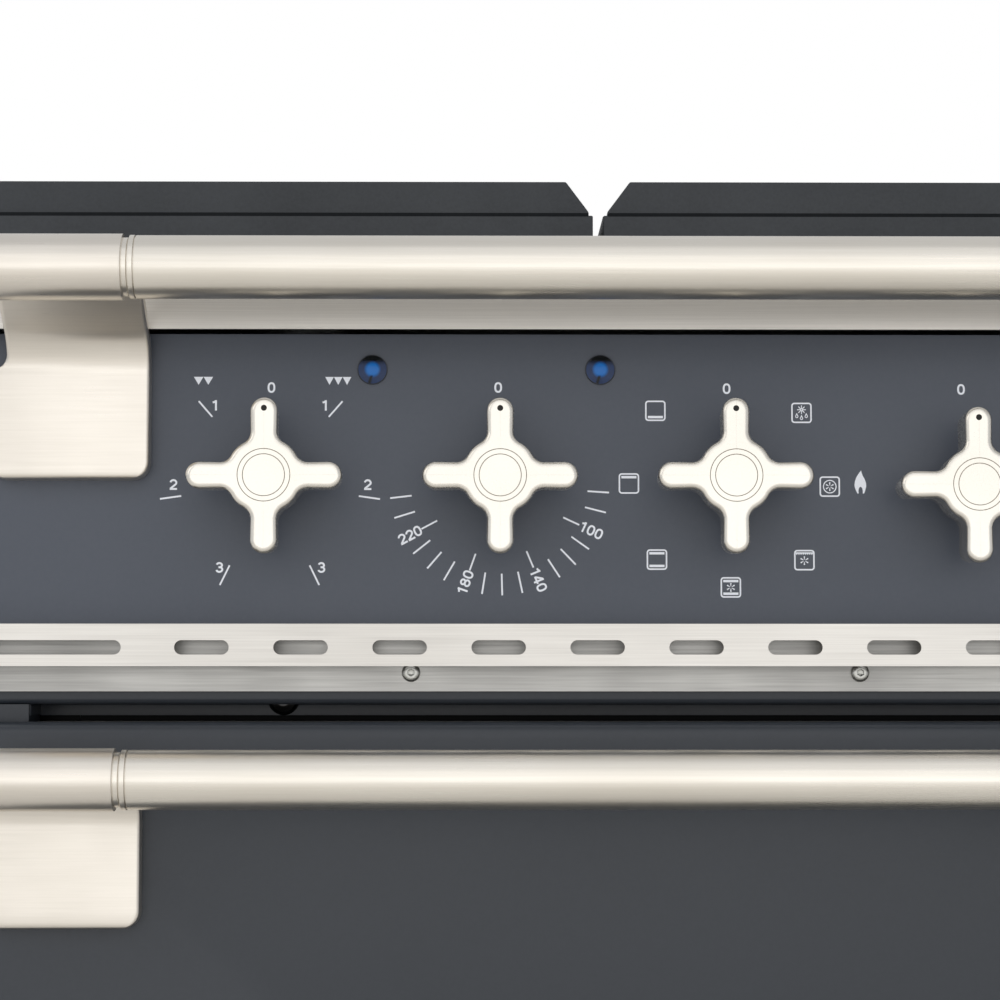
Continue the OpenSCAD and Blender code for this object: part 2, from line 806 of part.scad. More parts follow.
// Wire side racks with paired rods at each level
module shelf_runners() {
    front = cavity_front + 25;
    back = cavity_back - 45;
    low = level_first - 25;
    top = level_first + (levels - 1) * level_pitch + 40;
    post_end = 5;
    rod = runner_r - 0.5;
    tie = runner_r - 0.9;
    color("#b4b4b2") from_panel() both_sides() {
        for (y = [front, back])
            bar_z(runner_x, y, [low - post_end, top + post_end], runner_r);
        for (z = [low, top])
            bar_y(runner_x, [front - post_end, back + post_end], z, rod);
        for (i = [0:levels - 1], dz = [0, level_gap])
            bar_y(runner_x - runner_d * 0.8, [front - 12, back + 12],
                level_first + i * level_pitch + dz, runner_r);
        for (y = [front, back], z = [low + 12, top - 12])
            bar_x([runner_x, cavity_w / 2], y, z, tie);
    }
}

// Wire shelf that slides between two runner rods
module oven_shelf() {
    half = runner_x - runner_d - 0.5;
    front = cavity_front + 28;
    back = cavity_back - 55;
    side = 3;
    cross = 2.6;
    wire = 1.8;
    bite = 0.9;
    wires = 25;
    pitch = 2 * half / (wires + 1);
    color("#b4b4b2") from_panel() {
        for (s = [-1, 1])
            bar_y(s * half, [front - side - 1, back + side + 1], shelf_z, side);
        for (y = [front, (front + back) / 2, back])
            bar_x([-half - 1, half + 1], y, shelf_z, cross);
        for (i = [1:wires])
            bar_y(i * pitch - half, [front - side, back + side], shelf_z + cross + wire - bite, wire);
    }
}

// Enamelled baking tray on the lowest runners
module baking_tray() {
    half = runner_x - runner_d + 1;
    front = cavity_front + 34;
    back = cavity_back - 60;
    drop = 26;
    color("#2b2c30") from_panel() difference() {
        union() {
            block([-half, half], [front, back], [tray_z, tray_z + sheet]);
            along_y([front + 12, back - 12])
                polygon([[-half + 14, tray_z], [-half + 20, tray_z - drop],
                    [half - 20, tray_z - drop], [half - 14, tray_z]]);
        }
        along_y([front + 12 + sheet, back - 12 - sheet])
            polygon([[-half + 14 + sheet, tray_z + 2 * sheet], [-half + 20 + sheet, tray_z - drop + sheet],
                [half - 20 - sheet, tray_z - drop + sheet], [half - 14 - sheet, tray_z + 2 * sheet]]);
    }
}

// Heating rod that runs to and fro, with half turns at the ends
module rod_run(count, pitch, length, r) {
    start = -(count - 1) * pitch / 2;
    for (i = [0:count - 1])
        bar_y(start + i * pitch, [0, length], 0, r);
    for (i = [0:count - 2])
        translate([start + (i + 0.5) * pitch, i % 2 == 0 ? 0 : length, 0])
            rotate([0, 0, i % 2 == 0 ? 180 : 0])
                rotate_extrude(angle = 180)
                    translate([pitch / 2, 0])
                        circle(r);
}

// Grill rod under the cavity roof, with both ends through the rear wall
grill_runs = 10;
grill_pitch = 50;
grill_leg_x = (grill_runs - 1) * grill_pitch / 2;
grill_z = cavity_roof - 26;
module grill_element() {
    r = element_d / 2;
    front = cavity_front + 70;
    length = cavity_d - 150;
    color("#6d6a66") from_panel() {
        translate([0, front, grill_z])
            rod_run(grill_runs, grill_pitch, length, r);
        for (s = [-1, 1])
            bar_y(s * grill_leg_x, [front + length, cavity_back + element_tail], grill_z, r);
    }
}

// Base rod below the cavity floor
module base_element() {
    r = element_d / 2;
    margin = 65;
    pitch = 70;
    color("#6d6a66") from_panel()
        translate([0, cavity_front + margin, cavity_floor - cavity_wall - r - 0.3])
            rod_run(8, pitch, cavity_d - 2 * margin, r);
}

// Round rod that circles the fan, with two ends through the rear wall
module ring_element() {
    r = element_d / 2;
    ring_y = cavity_back - ring_set;
    gap = asin(ring_end_x / ring_r);
    color("#6d6a66") {
        facing_front(0, fan_z, ring_y)
            rotate([0, 0, 90 + gap])
                rotate_extrude(angle = 360 - 2 * gap)
                    translate([ring_r, 0])
                        circle(r);
        from_panel()
            for (s = [-1, 1])
                bar_y(s * ring_end_x, [ring_y - r, cavity_back + element_tail],
                    fan_z + ring_r * cos(gap), r);
    }
}

// Dished cover over the fan with a ring of inlet slots and open ports round its edge
module fan_cover() {
    wall = 1.2;
    color("#26272b") facing_front(0, fan_z, cavity_back) difference() {
        rotate_extrude()
            polygon([[0, cover_depth], [cover_r - 14, cover_depth], [cover_r, cover_depth - 14],
                [cover_r, 0], [cover_r - wall, 0], [cover_r - wall, cover_depth - 14 - wall / 2],
                [cover_r - 14 - wall / 2, cover_depth - wall], [0, cover_depth - wall]]);
        for (i = [0:11])
            rotate([0, 0, i * 30])
                translate([fan_r * 0.5, 0, cover_depth / 2])
                    linear_extrude(cover_depth)
                        slot_2d(34, 7);
        for (i = [0:7])
            rotate([0, 0, i * 45 + 22.5])
                translate([cover_r - 8, -16, 5])
                    cube([16, 32, 8]);
    }
}

// Fan wheel: back disc, hub, shaft and angled blades
module oven_fan() {
    disc_z = 6;
    blade_h = 15;
    color("#a8a8a6") facing_front(0, fan_z, cavity_back) {
        rotate_extrude()
            polygon([[0, -40], [shaft_r, -40], [shaft_r, disc_z], [fan_r, disc_z],
                [fan_r, disc_z + 1.2], [9, disc_z + 1.2], [8, disc_z + 12], [0, disc_z + 12]]);
        for (i = [0:fan_blades - 1])
            rotate([0, 0, i * 360 / fan_blades])
                translate([fan_r * 0.45, 0, disc_z + 1.2])
                    rotate([0, 0, 18])
                        cube([fan_r * 0.5, 1.2, blade_h]);
    }
}

// Fan motor on the outside of the rear wall
module fan_motor() {
    stator_r = 30;
    flange_r = 44;
    flange_t = 18;
    color("#8f9091") facing_front(0, fan_z, cavity_back + cavity_wall) difference() {
        rotate_extrude()
            polygon([[0, -motor_l], [stator_r - 4, -motor_l], [stator_r, 4 - motor_l],
                [stator_r, -flange_t], [flange_r, -flange_t], [flange_r, 0], [flange_r - 2, 0],
                [flange_r - 2, 2 - flange_t], [10, 2 - flange_t], [10, 6 - flange_t],
                [0, 6 - flange_t]]);
        translate([0, 0, 10 - motor_l])
            cylinder(h = motor_l, r = shaft_r + shaft_gap);
    }
}

// Oven lamp: glass dome inside the cavity, holder through the rear wall
module oven_lamp() {
    color("#e8e4d4") facing_front(lamp_x, lamp_z, cavity_back)
        rotate_extrude()
            polygon([[0, -32], [14, -32], [14, -6], [19.7, -6], [19.7, 0], [25, 0], [25, 4], [22, 10],
                [16, 15], [8, 18], [0, 19]]);
}

// Burner: cup in the hob opening, ported crown and a spark plug beside it
module burner(r) {
    crown_z = well_z + 3;
    flange = 5;
    ports = max(12, 2 * floor(r / 4));
    plug_r = 3;
    difference() {
        union() {
            rotate_extrude()
                polygon([[0, well_z - 22], [r - 12, well_z - 22], [r - 7, well_z - 14],
                    [r - 7, well_z], [r + flange, well_z], [r + flange, well_z + 1.5], [r, crown_z],
                    [r, crown_z + crown_h], [r - 5, crown_z + crown_h], [r - 5, crown_z + 4],
                    [0, crown_z + 4]]);
            rotate([0, 0, 45])
                translate([r + flange + 1, 0, well_z]) {
                    cylinder(h = 1, r = 2 * plug_r);
                    cylinder(h = crown_h + 1, r = plug_r);
                }
        }
        for (i = [0:ports - 1])
            rotate([0, 0, i * 360 / ports])
                translate([r - 8, -0.9, crown_z + 4])
                    cube([12, 1.8, crown_h]);
    }
}

module burner_bodies() {
    color("#8c8d8e") from_panel()
        for (b = BURNERS)
            translate([b[0], b[1], 0])
                burner(b[2]);
}

// Enamelled caps that rest on the crowns
module burner_caps() {
    z = well_z + 3 + crown_h;
    color("#202123") from_panel()
        for (b = BURNERS)
            translate([b[0], b[1], z])
                rotate_extrude()
                    polygon([[0, 0], [b[2] - 5.5, 0], [b[2] + 1, 0], [b[2] + 2, 1.5],
                        [b[2] + 1, 3.5], [b[2] - 5, cap_h], [b[2] * 0.5, cap_h - 1], [0, cap_h - 1]]);
}

// Front or rear plate of a pan support, chamfered at the upper corners
module support_plate(w, y) {
    h = w / 2;
    foot = h - support_foot_in;
    top_h = h - support_step;
    along_y([y, y + support_plate_t]) {
        polygon([[-top_h, support_mid], [-top_h, support_top - chamfer_h],
            [-top_h + chamfer_w, support_top], [top_h - chamfer_w, support_top],
            [top_h, support_top - chamfer_h], [top_h, support_mid]]);
        for (s = [-1, 1])
            polygon([[0, support_mid], [s * h, support_mid], [s * h, hob_z + 1],
                [s * foot, hob_z + 1], [s * foot, support_base], [s * (foot - 22), support_base],
                [s * (foot - 28), support_base + 10], [0, support_base + 10]]);
    }
}

// One finger that points along X, with its root at the origin and its nose rounded
module finger(l) {
    h = support_top - support_mid;
    translate([0, -finger_w / 2, support_top])
        rotate([90, 0, 0])
            mirror([0, 0, 1])
                linear_extrude(finger_w) {
                    polygon([[0, -h - 10], [0, -h + 1], [h - 1, 0], [l - 5, 0], [l, -5], [l, -h + 2],
                        [l - 4, -h], [16, -h], [6, -h - 10]]);
                }
}

// Pan support: two tall plates, two low side bars and fingers round each burner
module pan_support(w, cells, hole_r) {
    side_t = 8;
    y0 = support_setback;
    y1 = support_rear;
    cell_d = (y1 - y0) / cells;
    side_top = support_mid + 1;
    side_low = support_base + 10;
    difference() {
        union() {
            support_plate(w, y0);
            support_plate(w, y1 - support_plate_t);
        }
        block([-w, w], [y0 - 1, y0 + support_step], [support_mid, support_top + 1]);
        block([-w, w], [y1 - support_step, y1 + 1], [support_mid, support_top + 1]);
    }
    for (s = [-1, 1])
        translate([s * (w / 2 - side_t / 2) - side_t / 2, y0 + support_plate_t, side_low])
            cube([side_t, y1 - y0 - 2 * support_plate_t, side_top - side_low]);
    for (c = [1:1:cells - 1])
        block([-w / 2 + side_t, w / 2 - side_t],
            [y0 + c * cell_d - finger_w / 2, y0 + c * cell_d + finger_w / 2],
            [support_mid - 8, support_mid + 1]);
    for (c = [0:cells - 1])
        translate([0, y0 + (c + 0.5) * cell_d, 0]) {
            for (s = [0, 180])
                rotate([0, 0, s])
                    translate([-w / 2 + side_t, 0, 0])
                        finger(w / 2 - side_t - hole_r);
            for (s = [90, -90]) {
                wall = (s == 90 && c == 0) || (s == -90 && c == cells - 1)
                    ? support_plate_t : finger_w / 2;
                rotate([0, 0, s])
                    translate([-cell_d / 2 + wall, 0, 0])
                        finger(cell_d / 2 - wall - hole_r);
            }
        }
}

module pan_support_left() {
    color("#3a3d42") from_panel() translate([-side_x, 0, 0]) pan_support(support_side_w, 2, 28);
}

module pan_support_right() {
    color("#3a3d42") from_panel() translate([side_x, 0, 0]) pan_support(support_side_w, 2, 28);
}

module pan_support_centre() {
    color("#3a3d42") from_panel() pan_support(2 * support_split - support_gap, 1, 45);
}

// Rounded front edge of a knob, as points from its rear to the face
function knob_edge(half, base) = [[half, base], for (a = [0:30:90])
    [half - knob_edge_r * (1 - cos(a)), knob_face - knob_edge_r * (1 - sin(a))]];

// The same edge on both sides, as a closed section
function knob_section(half, base) = let (edge = knob_edge(half, base))
    concat(edge, [for (i = [len(edge) - 1:-1:0]) [-edge[i][0], edge[i][1]]]);

// Straight knob arm with a round tip
module knob_arm(base) {
    r = knob_arm_w / 2;
    l = knob_d / 2 - r;
    rotate([90, 0, 90])
        linear_extrude(l)
            polygon(knob_section(r, base));
    translate([l, 0, 0])
        rotate_extrude()
            polygon(concat([[0, base]], knob_edge(r, base), [[0, knob_face]]));
}

// Square knob hub, where two equal sections cross
module knob_hub(base) {
    side = knob_hub_w / 2;
    rotate([0, 0, 45])
        intersection_for (a = [0, 90])
            rotate([90, 0, a])
                translate([0, 0, -side])
                    linear_extrude(knob_hub_w)
                        polygon(knob_section(side, base));
}

// Hollow fillets between a knob arm and the two hub flats beside it
module knob_fillets(base) {
    half = knob_arm_w / 2;
    f = knob_fillet_r;
    x = knob_hub_w / 2 * sqrt(2) - half + f * (sqrt(2) - 1);
    for (s = [0, 1])
        mirror([0, s, 0])
            translate([0, 0, base])
                linear_extrude(knob_face - knob_edge_r * 0.35 - base)
                    polygon(concat([[x - f, half - 1], [x, half - 1]],
                        arc([x, half + f], f, 270, 225, 3)));
}

// Cross knob: square hub between four arms, with a blind bore for its spindle
module knob() {
    base = knob_face - knob_t;
    hub_lift = 0.5;
    groove = 0.3;
    difference() {
        union() {
            knob_hub(base + hub_lift);
            for (a = [0:90:270])
                rotate([0, 0, a]) {
                    knob_arm(base);
                    knob_fillets(base + 2 * hub_lift);
                }
            translate([0, 0, neck_clear])
                cylinder(h = base + 1 - neck_clear, r = neck_r);
        }
        translate([0, 0, -1])
            cylinder(h = knob_bore_end + 1, r = spindle_r + shaft_gap);
        for (r = knob_ring_r)
            rotate_extrude()
                translate([r - groove / 2, knob_face - groove]) square([groove, 1]);
        translate([0, index_r, knob_face - 1.2])
            cylinder(h = 2, r = index_d / 2);
    }
}

module oven_knob(i) {
    color("#e6e1d4") facing_front(oven_knob_x[i], oven_knob_z) knob();
}

module burner_knob(i) {
    color("#e6e1d4") facing_front(hob_knob_x[i], hob_knob_z) knob();
}

// Stem of a gas tap: thick in the tap, thin in the knob
module tap_spindle(i) {
    color("#c8c5be") facing_front(hob_knob_x[i], hob_knob_z)
        rotate_extrude()
            polygon([[0, -tap_front - 20], [stem_r, -tap_front - 20], [stem_r, -4],
                [spindle_r, -4], [spindle_r, spindle_tip - 0.6], [spindle_r - 0.6, spindle_tip],
                [0, spindle_tip]]);
}

// Gas taps on the front of the manifold, each with a thermocouple boss on its side
module gas_taps() {
    color("#b99b58")
        for (x = hob_knob_x)
            facing_front(x, hob_knob_z) difference() {
                union() {
                    rotate_extrude()
                        polygon([[0, -manifold_y], [tap_r, -manifold_y],
                            [tap_r, -tap_front - 6], [tap_r - 3, -tap_front], [0, -tap_front]]);
                    translate([0, 0, -tap_front - 18])
                        rotate([-90, 0, 0])
                            cylinder(h = tap_r + 10, r = 5);
                }
                translate([0, 0, -tap_front - 20 - push_travel - 2])
                    cylinder(h = 60, r = stem_r + shaft_gap);
            }
}

// Gas manifold behind the taps, with its feed pipe to the threaded inlet at the rear
module gas_manifold() {
    w = manifold_w / 2;
    y = manifold_y + w;
    color("#8b8d90") from_panel() {
        block([hob_knob_x[0] - 25, inlet_x + w], [manifold_y, manifold_y + manifold_w],
            [hob_knob_z - w, hob_knob_z + w]);
        bar_z(inlet_x, y, [hob_knob_z, inlet_z], 7);
        translate([inlet_x, y, inlet_z])
            sphere(7);
        bar_y(inlet_x, [y, back_set - 6], inlet_z, 7);
        bar_y(inlet_x, [back_set - 6, body_d - 4], inlet_z, 10.5);
        bar_y(inlet_x, [back_set - 6, back_set], inlet_z, inlet_hole_r + 4);
    }
}

// Grill regulator, thermostat and function switch behind the oven knobs, with their shafts
module oven_controls() {
    half = 18;
    color("#d9d4c6")
        for (x = oven_knob_x)
            facing_front(x, oven_knob_z) {
                translate([-half, -half, -sheet - 40])
                    cube([2 * half, 2 * half, 40]);
                translate([0, 0, -sheet - 1])
                    cylinder(h = spindle_tip + sheet + 1, r = spindle_r);
                translate([0, 0, -sheet])
                    cylinder(h = sheet + 1.5, r = panel_hole_d / 2 - 2);
            }
}

// Outer door panel: folded on all sides, with a window and slots for the hinges
module front_pan(low, high) {
    difference() {
        along_x([-door_half, door_half]) difference() {
            union() {
                polygon([[-door_rear, low], [-door_rear, high], [-door_proud + 3, high],
                    [-door_proud, high - 3], [-door_proud, low + 3], [-door_proud + 3, low]]);
                for (z = [low + 3, high - 3])
                    translate([-door_proud + 3, z])
                        circle(3);
            }
        }
        block([-door_half + sheet, door_half - sheet], [-door_proud + sheet, -door_rear - sheet],
            [low + sheet + 1, high - sheet - 1]);
        block([-door_half + column_w + 6, door_half - column_w - 6], [-door_rear - sheet - 1, 1],
            [low + 22, high - 22]);
    }
}

module door_skin() {
    color("#45494d") from_panel() difference() {
        front_pan(door_base, door_top);
        along_y([-door_proud - 1, -door_proud + sheet + 1])
            translate([0, window_z])
                rounded_rect(window_w, window_h, 12);
        for (s = [-1, 1])
            block([s * hinge_x - 9, s * hinge_x + 9], [-door_proud + sheet, 1],
                [door_base - 1, liner_base + sheet + 0.5]);
    }
}

// Window pane behind the outer panel
module door_glass() {
    color("#1d2226", 0.6) from_panel()
        along_y([-door_proud + sheet, -door_proud + sheet + 4])
            translate([0, window_z])
                rounded_rect(window_w + 24, window_h + 24, 16);
}

// Inner door panel: a pressed pan with the window frame, hinge ears and pins
module door_inner_panel() {
    inner_w = 2 * liner_half;
    h = door_top - liner_base;
    mid = (door_top + liner_base) / 2;
    color("#c4c2bd") from_panel() {
        difference() {
            block([-liner_half, liner_half], [-door_rear, liner_back], [liner_base, door_top]);
            block([-liner_half + sheet, liner_half - sheet], [-door_rear - 1, liner_back - sheet],
                [liner_base + sheet, door_top - sheet]);
            along_y([liner_back - sheet - 1, liner_back + 1])
                translate([0, window_z])
                    rounded_rect(window_w - 20, window_h - 20, 12);
        }
        for (s = [-1, 1]) {
            for (side = [-1, 1])
                along_x([s * hinge_x + side * (hinge_t / 2 + 2) - 1.5,
                        s * hinge_x + side * (hinge_t / 2 + 2) + 1.5]) {
                    translate([-pivot_y, pivot_z])
                        circle(5);
                    polygon([[-pivot_y - 5, pivot_z], [-pivot_y + 5, pivot_z],
                        [-door_rear + 6, liner_base], [-pivot_y - 3, liner_base]]);
                    polygon([[-pivot_y - 3, liner_base], [-door_rear + 6, liner_base],
                        [-door_rear + 6, liner_base + sheet], [-door_rear, liner_base + sheet],
                        [-pivot_y - 3, liner_base + 1]]);
                }
            bar_x([s * hinge_x - hinge_t / 2 - 3.5, s * hinge_x + hinge_t / 2 + 3.5],
                -pivot_y, pivot_z, pivot_r);
        }
    }
}

// Inner pane on the cavity side of the door
module door_inner_glass() {
    color("#2a3034", 0.6) from_panel()
        along_y([liner_back - sheet - 4, liner_back - sheet])
            translate([0, window_z])
                rounded_rect(window_w + 10, window_h + 10, 12);
}

// Hinge brackets fixed to the front frame
module door_hinges() {
    color("#8f9093") from_panel()
        for (s = [-1, 1])
            difference() {
                union() {
                    along_x([s * hinge_x - hinge_t / 2, s * hinge_x + hinge_t / 2]) {
                        translate([-pivot_y, pivot_z])
                            circle(5);
                        polygon([[-pivot_y, pivot_z - 5], [-pivot_y, pivot_z + 5],
                            [frame_set, pivot_z + 5], [frame_set, pivot_z - 5]]);
                        polygon([[frame_set - 0.01, pivot_z - 2.9], [frame_set - 0.01, pivot_z + 2.9],
                            [frame_back + 25, pivot_z + 2.9], [frame_back + 25, pivot_z - 2.9]]);
                    }
                }
                bar_x([s * hinge_x - hinge_t, s * hinge_x + hinge_t], -pivot_y, pivot_z,
                    pivot_r + shaft_gap);
            }
}

// Pair of plate brackets on a door or drawer face, with sleeves for the handle tube
module handle_brackets(axis_z, plate_h) {
    low = axis_z - plate_h;
    bend = axis_z - handle_bend_drop;
    inner = sleeve_out - bracket_w;
    outer = sleeve_out - 3;
    rear_r = bracket_bend_r + 0.5;
    both_sides() {
        translate([0, -handle_reach, axis_z])
            grip_sleeve(handle_d, sleeve_in, sleeve_out - 1);
        difference() {
            intersection() {
                along_x([inner, outer])
                    bracket_profile(-door_proud, low, bend, -handle_reach, rear_r);
                along_y([-handle_reach - handle_d, 1])
                    bracket_front(inner, outer, inner + neck_w, low, bend, axis_z + handle_d);
            }
            block([inner - 1, sleeve_in + 0.01], [-handle_reach - handle_d,
                -handle_reach + handle_d / 2 + 0.3], [axis_z - handle_d * 0.62, axis_z + handle_d]);
            bar_x([0, half_w], -handle_reach, axis_z, handle_d / 2 + sleeve_wrap);
        }
    }
}

module door_handle_tube() {
    color("#cfc8b8") from_panel()
        translate([0, -handle_reach, door_top - handle_drop])
            grip_tube(handle_d, sleeve_in);
}

module door_handle_brackets() {
    color("#cfc8b8") from_panel() handle_brackets(door_top - handle_drop, handle_plate_h);
}

// Drawer front: the same folded pan as the door
module drawer_front() {
    color("#45494d") from_panel() front_pan(drawer_base, drawer_top);
}

// Drawer box: a floor and a front and rear wall between two side walls, with a seam at each joint
// and the front wall against the drawer front
module drawer_box() {
    inner = drawer_half - sheet - seam;
    base = drawer_floor + sheet + seam;
    top = drawer_floor + drawer_wall_h;
    color("#84878a") from_panel() {
        both_sides()
            block([drawer_half - sheet, drawer_half], [-door_rear, drawer_d], [drawer_floor, top]);
        block([-inner, inner], [-door_rear, drawer_d], [drawer_floor, drawer_floor + sheet]);
        block([-inner, inner], [-door_rear, -door_rear + sheet], [base, top]);
        block([-inner, inner], [drawer_d - sheet, drawer_d], [base, top]);
    }
}

// Drawer handle with its two brackets
module drawer_handle() {
    color("#cfc8b8") from_panel() {
        handle_brackets(drawer_top - handle_drop, handle_plate_h);
        translate([0, -handle_reach, drawer_top - handle_drop])
            grip_tube(handle_d, sleeve_in);
    }
}

side_panel_left();
side_panel_right();
back_panel();
base_frame();
feet();
front_frame();
cross_rail();
control_panel();
hob_top();
rear_vent();
air_outlet();
outlet_back_plate();
outlet_screws();
indicator_lamps();
door_buffers();
rail_tube();
rail_brackets();
oven_cavity();
door_seal();
shelf_runners();
oven_shelf();
baking_tray();
grill_element();
base_element();
ring_element();
fan_cover();
oven_fan();
fan_motor();
oven_lamp();
burner_bodies();
burner_caps();
pan_support_left();
pan_support_centre();
pan_support_right();
oven_knob(0);  // knob_grill
oven_knob(1);  // knob_thermostat
oven_knob(2);  // knob_function
burner_knob(0);  // knob_burner_1
burner_knob(1);  // knob_burner_2
burner_knob(2);  // knob_burner_3
burner_knob(3);  // knob_burner_4
burner_knob(4);  // knob_burner_5
tap_spindle(0);  // tap_spindle_1
tap_spindle(1);  // tap_spindle_2
tap_spindle(2);  // tap_spindle_3
tap_spindle(3);  // tap_spindle_4
tap_spindle(4);  // tap_spindle_5
gas_taps();
gas_manifold();
oven_controls();
door_skin();
door_glass();
door_inner_panel();
door_inner_glass();
door_handle_tube();
door_handle_brackets();
door_hinges();
drawer_front();
drawer_box();
drawer_handle();
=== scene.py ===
"""Visual model of a free-standing range cooker: gas hob, electric oven and storage drawer.

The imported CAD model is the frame. Lengths in this file are millimetres until a mesh is
written, x runs to the right, z up, and a depth is counted from the control panel face,
positive behind it, as in the part's source.
"""

from __future__ import annotations

import json
import logging
from collections.abc import Iterable, Sequence
from dataclasses import dataclass, field
from enum import Enum

import bmesh
import bpy
import numpy as np
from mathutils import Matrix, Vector

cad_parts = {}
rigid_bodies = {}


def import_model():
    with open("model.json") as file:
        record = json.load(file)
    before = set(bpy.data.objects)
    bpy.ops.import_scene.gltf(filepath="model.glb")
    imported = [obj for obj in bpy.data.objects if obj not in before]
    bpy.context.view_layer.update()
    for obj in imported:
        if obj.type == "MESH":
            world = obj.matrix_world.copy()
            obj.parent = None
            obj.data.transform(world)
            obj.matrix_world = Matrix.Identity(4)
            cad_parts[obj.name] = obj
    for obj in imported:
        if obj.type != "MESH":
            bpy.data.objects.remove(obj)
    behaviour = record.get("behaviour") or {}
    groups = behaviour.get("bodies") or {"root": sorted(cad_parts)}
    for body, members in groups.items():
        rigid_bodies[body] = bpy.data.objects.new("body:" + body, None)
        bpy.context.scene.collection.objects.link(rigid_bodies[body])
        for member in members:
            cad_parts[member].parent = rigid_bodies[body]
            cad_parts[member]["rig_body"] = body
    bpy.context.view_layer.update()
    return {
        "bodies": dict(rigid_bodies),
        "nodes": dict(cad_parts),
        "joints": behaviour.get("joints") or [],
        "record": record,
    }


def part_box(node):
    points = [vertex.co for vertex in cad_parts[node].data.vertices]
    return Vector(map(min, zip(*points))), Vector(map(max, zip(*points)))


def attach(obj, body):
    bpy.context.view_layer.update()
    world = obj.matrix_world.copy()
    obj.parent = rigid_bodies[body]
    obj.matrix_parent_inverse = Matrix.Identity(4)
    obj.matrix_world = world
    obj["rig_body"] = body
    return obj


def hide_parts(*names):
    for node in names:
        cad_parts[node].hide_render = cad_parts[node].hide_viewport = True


LOG = logging.getLogger("range_cooker")
MM = 0.001
ROOT = "cooker"
Array = np.ndarray


class Facing(Enum):
    """Where the third axis of a flat drawing points."""

    FRONT = "out of the control panel"
    UP = "to the ceiling"
    SIDE = "to the right"


# ---------------------------------------------------------------- plane geometry


def unit(vectors: Array) -> Array:
    """Scales each row to length one.

    Args:
        vectors: Rows of any dimension.

    Returns:
        The rows divided by their lengths.
    """
    return vectors / np.maximum(np.linalg.norm(vectors, axis=-1, keepdims=True), 1e-12)


@dataclass(frozen=True)
class Outline:
    """A closed drawing with straight sides and rounded corners, counter-clockwise.

    The corner arcs always have the same number of points, so that outlines made from
    one drawing can be skinned together.
    """

    corners: Array
    radii: Array
    steps: int = 6

    def inset(self, amount: float = 0.0) -> Array:
        """Draws the outline moved inwards.

        Each side moves along its normal. An outer corner's radius shrinks by the same
        amount and an inner corner's grows, which keeps the arcs about their centres. An
        arc of radius r in a corner of half angle h starts r / tan(h) from the corner, and
        its centre lies r / sin(h) along the bisector.

        Args:
            amount: Distance to move, negative for outwards.

        Returns:
            Points, one row each, shape (corners * (steps + 1), 2).
        """
        points = np.asarray(self.corners, float)
        ahead = unit(np.roll(points, -1, axis=0) - points)
        behind = np.roll(ahead, 1, axis=0)
        normals = [np.stack([-side[:, 1], side[:, 0]], axis=1) for side in (behind, ahead)]
        shared = 1.0 + np.sum(normals[0] * normals[1], axis=1, keepdims=True)
        moved = points + amount * (normals[0] + normals[1]) / shared
        turn = behind[:, 0] * ahead[:, 1] - behind[:, 1] * ahead[:, 0]
        radius = np.maximum(self.radii - amount * np.sign(turn), 0.0)[:, None]
        cosine = np.clip(np.sum(-behind * ahead, axis=1, keepdims=True), -1.0, 1.0)
        half = np.arccos(cosine) / 2.0
        centre = moved + unit(ahead - behind) * radius / np.sin(half)
        first = moved - behind * radius / np.tan(half) - centre
        last = moved + ahead * radius / np.tan(half) - centre
        sweep = np.maximum(np.pi - 2.0 * half, 1e-6)[:, None]
        share = np.linspace(0.0, 1.0, self.steps + 1)[None, :, None]
        arc = (np.sin((1.0 - share) * sweep) * first[:, None]
               + np.sin(share * sweep) * last[:, None]) / np.sin(sweep)
        return (centre[:, None] + arc).reshape(-1, 2)


def box_outline(low: Sequence[float], high: Sequence[float], radius: float, steps: int = 6) -> Outline:
    """Draws a rectangle with round corners.

    Args:
        low: Lowest corner.
        high: Highest corner.
        radius: Corner radius.
        steps: Segments in a corner.

    Returns:
        The outline.
    """
    corners = np.array([[low[0], low[1]], [high[0], low[1]], [high[0], high[1]], [low[0], high[1]]])
    return Outline(corners, np.full(4, float(radius)), steps)


def softened(profile: Sequence[Sequence[float]], radius: float, steps: int = 4) -> Array:
    """Rounds the inner corners of an open profile.

    Args:
        profile: Points of a polyline.
        radius: Radius at each corner, made smaller where a side is short.
        steps: Segments in each arc.

    Returns:
        The rounded polyline.
    """
    points = np.asarray(profile, float)
    back = np.linalg.norm(points[1:-1] - points[:-2], axis=1)
    front = np.linalg.norm(points[2:] - points[1:-1], axis=1)
    behind, ahead = unit(points[1:-1] - points[:-2]), unit(points[2:] - points[1:-1])
    half = np.arccos(np.clip(np.sum(-behind * ahead, axis=1), -1.0, 1.0)) / 2.0
    reach = np.minimum(radius / np.tan(np.minimum(half, 1.57)), 0.45 * np.minimum(back, front))[:, None]
    start, end = points[1:-1] - behind * reach, points[1:-1] + ahead * reach
    share = np.linspace(0.0, 1.0, steps + 1)[None, :, None]
    curve = ((1 - share) ** 2 * start[:, None] + 2 * share * (1 - share) * points[1:-1][:, None]
             + share**2 * end[:, None])
    return np.vstack([points[:1], curve.reshape(-1, 2), points[-1:]])


def quarter(edge: float, steps: int = 5) -> tuple[Array, Array]:
    """Gives the insets and the remaining depths along a rounded edge.

    The edge is a quarter circle: the inset is edge * (1 - cos a) and the depth still to
    go is edge * (1 - sin a), with a from 0 to 90 degrees.

    Args:
        edge: Radius of the edge.
        steps: Number of segments.

    Returns:
        Insets and depths.
    """
    angle = np.linspace(0.0, np.pi / 2.0, steps + 1)
    return edge * (1.0 - np.cos(angle)), edge * (1.0 - np.sin(angle))


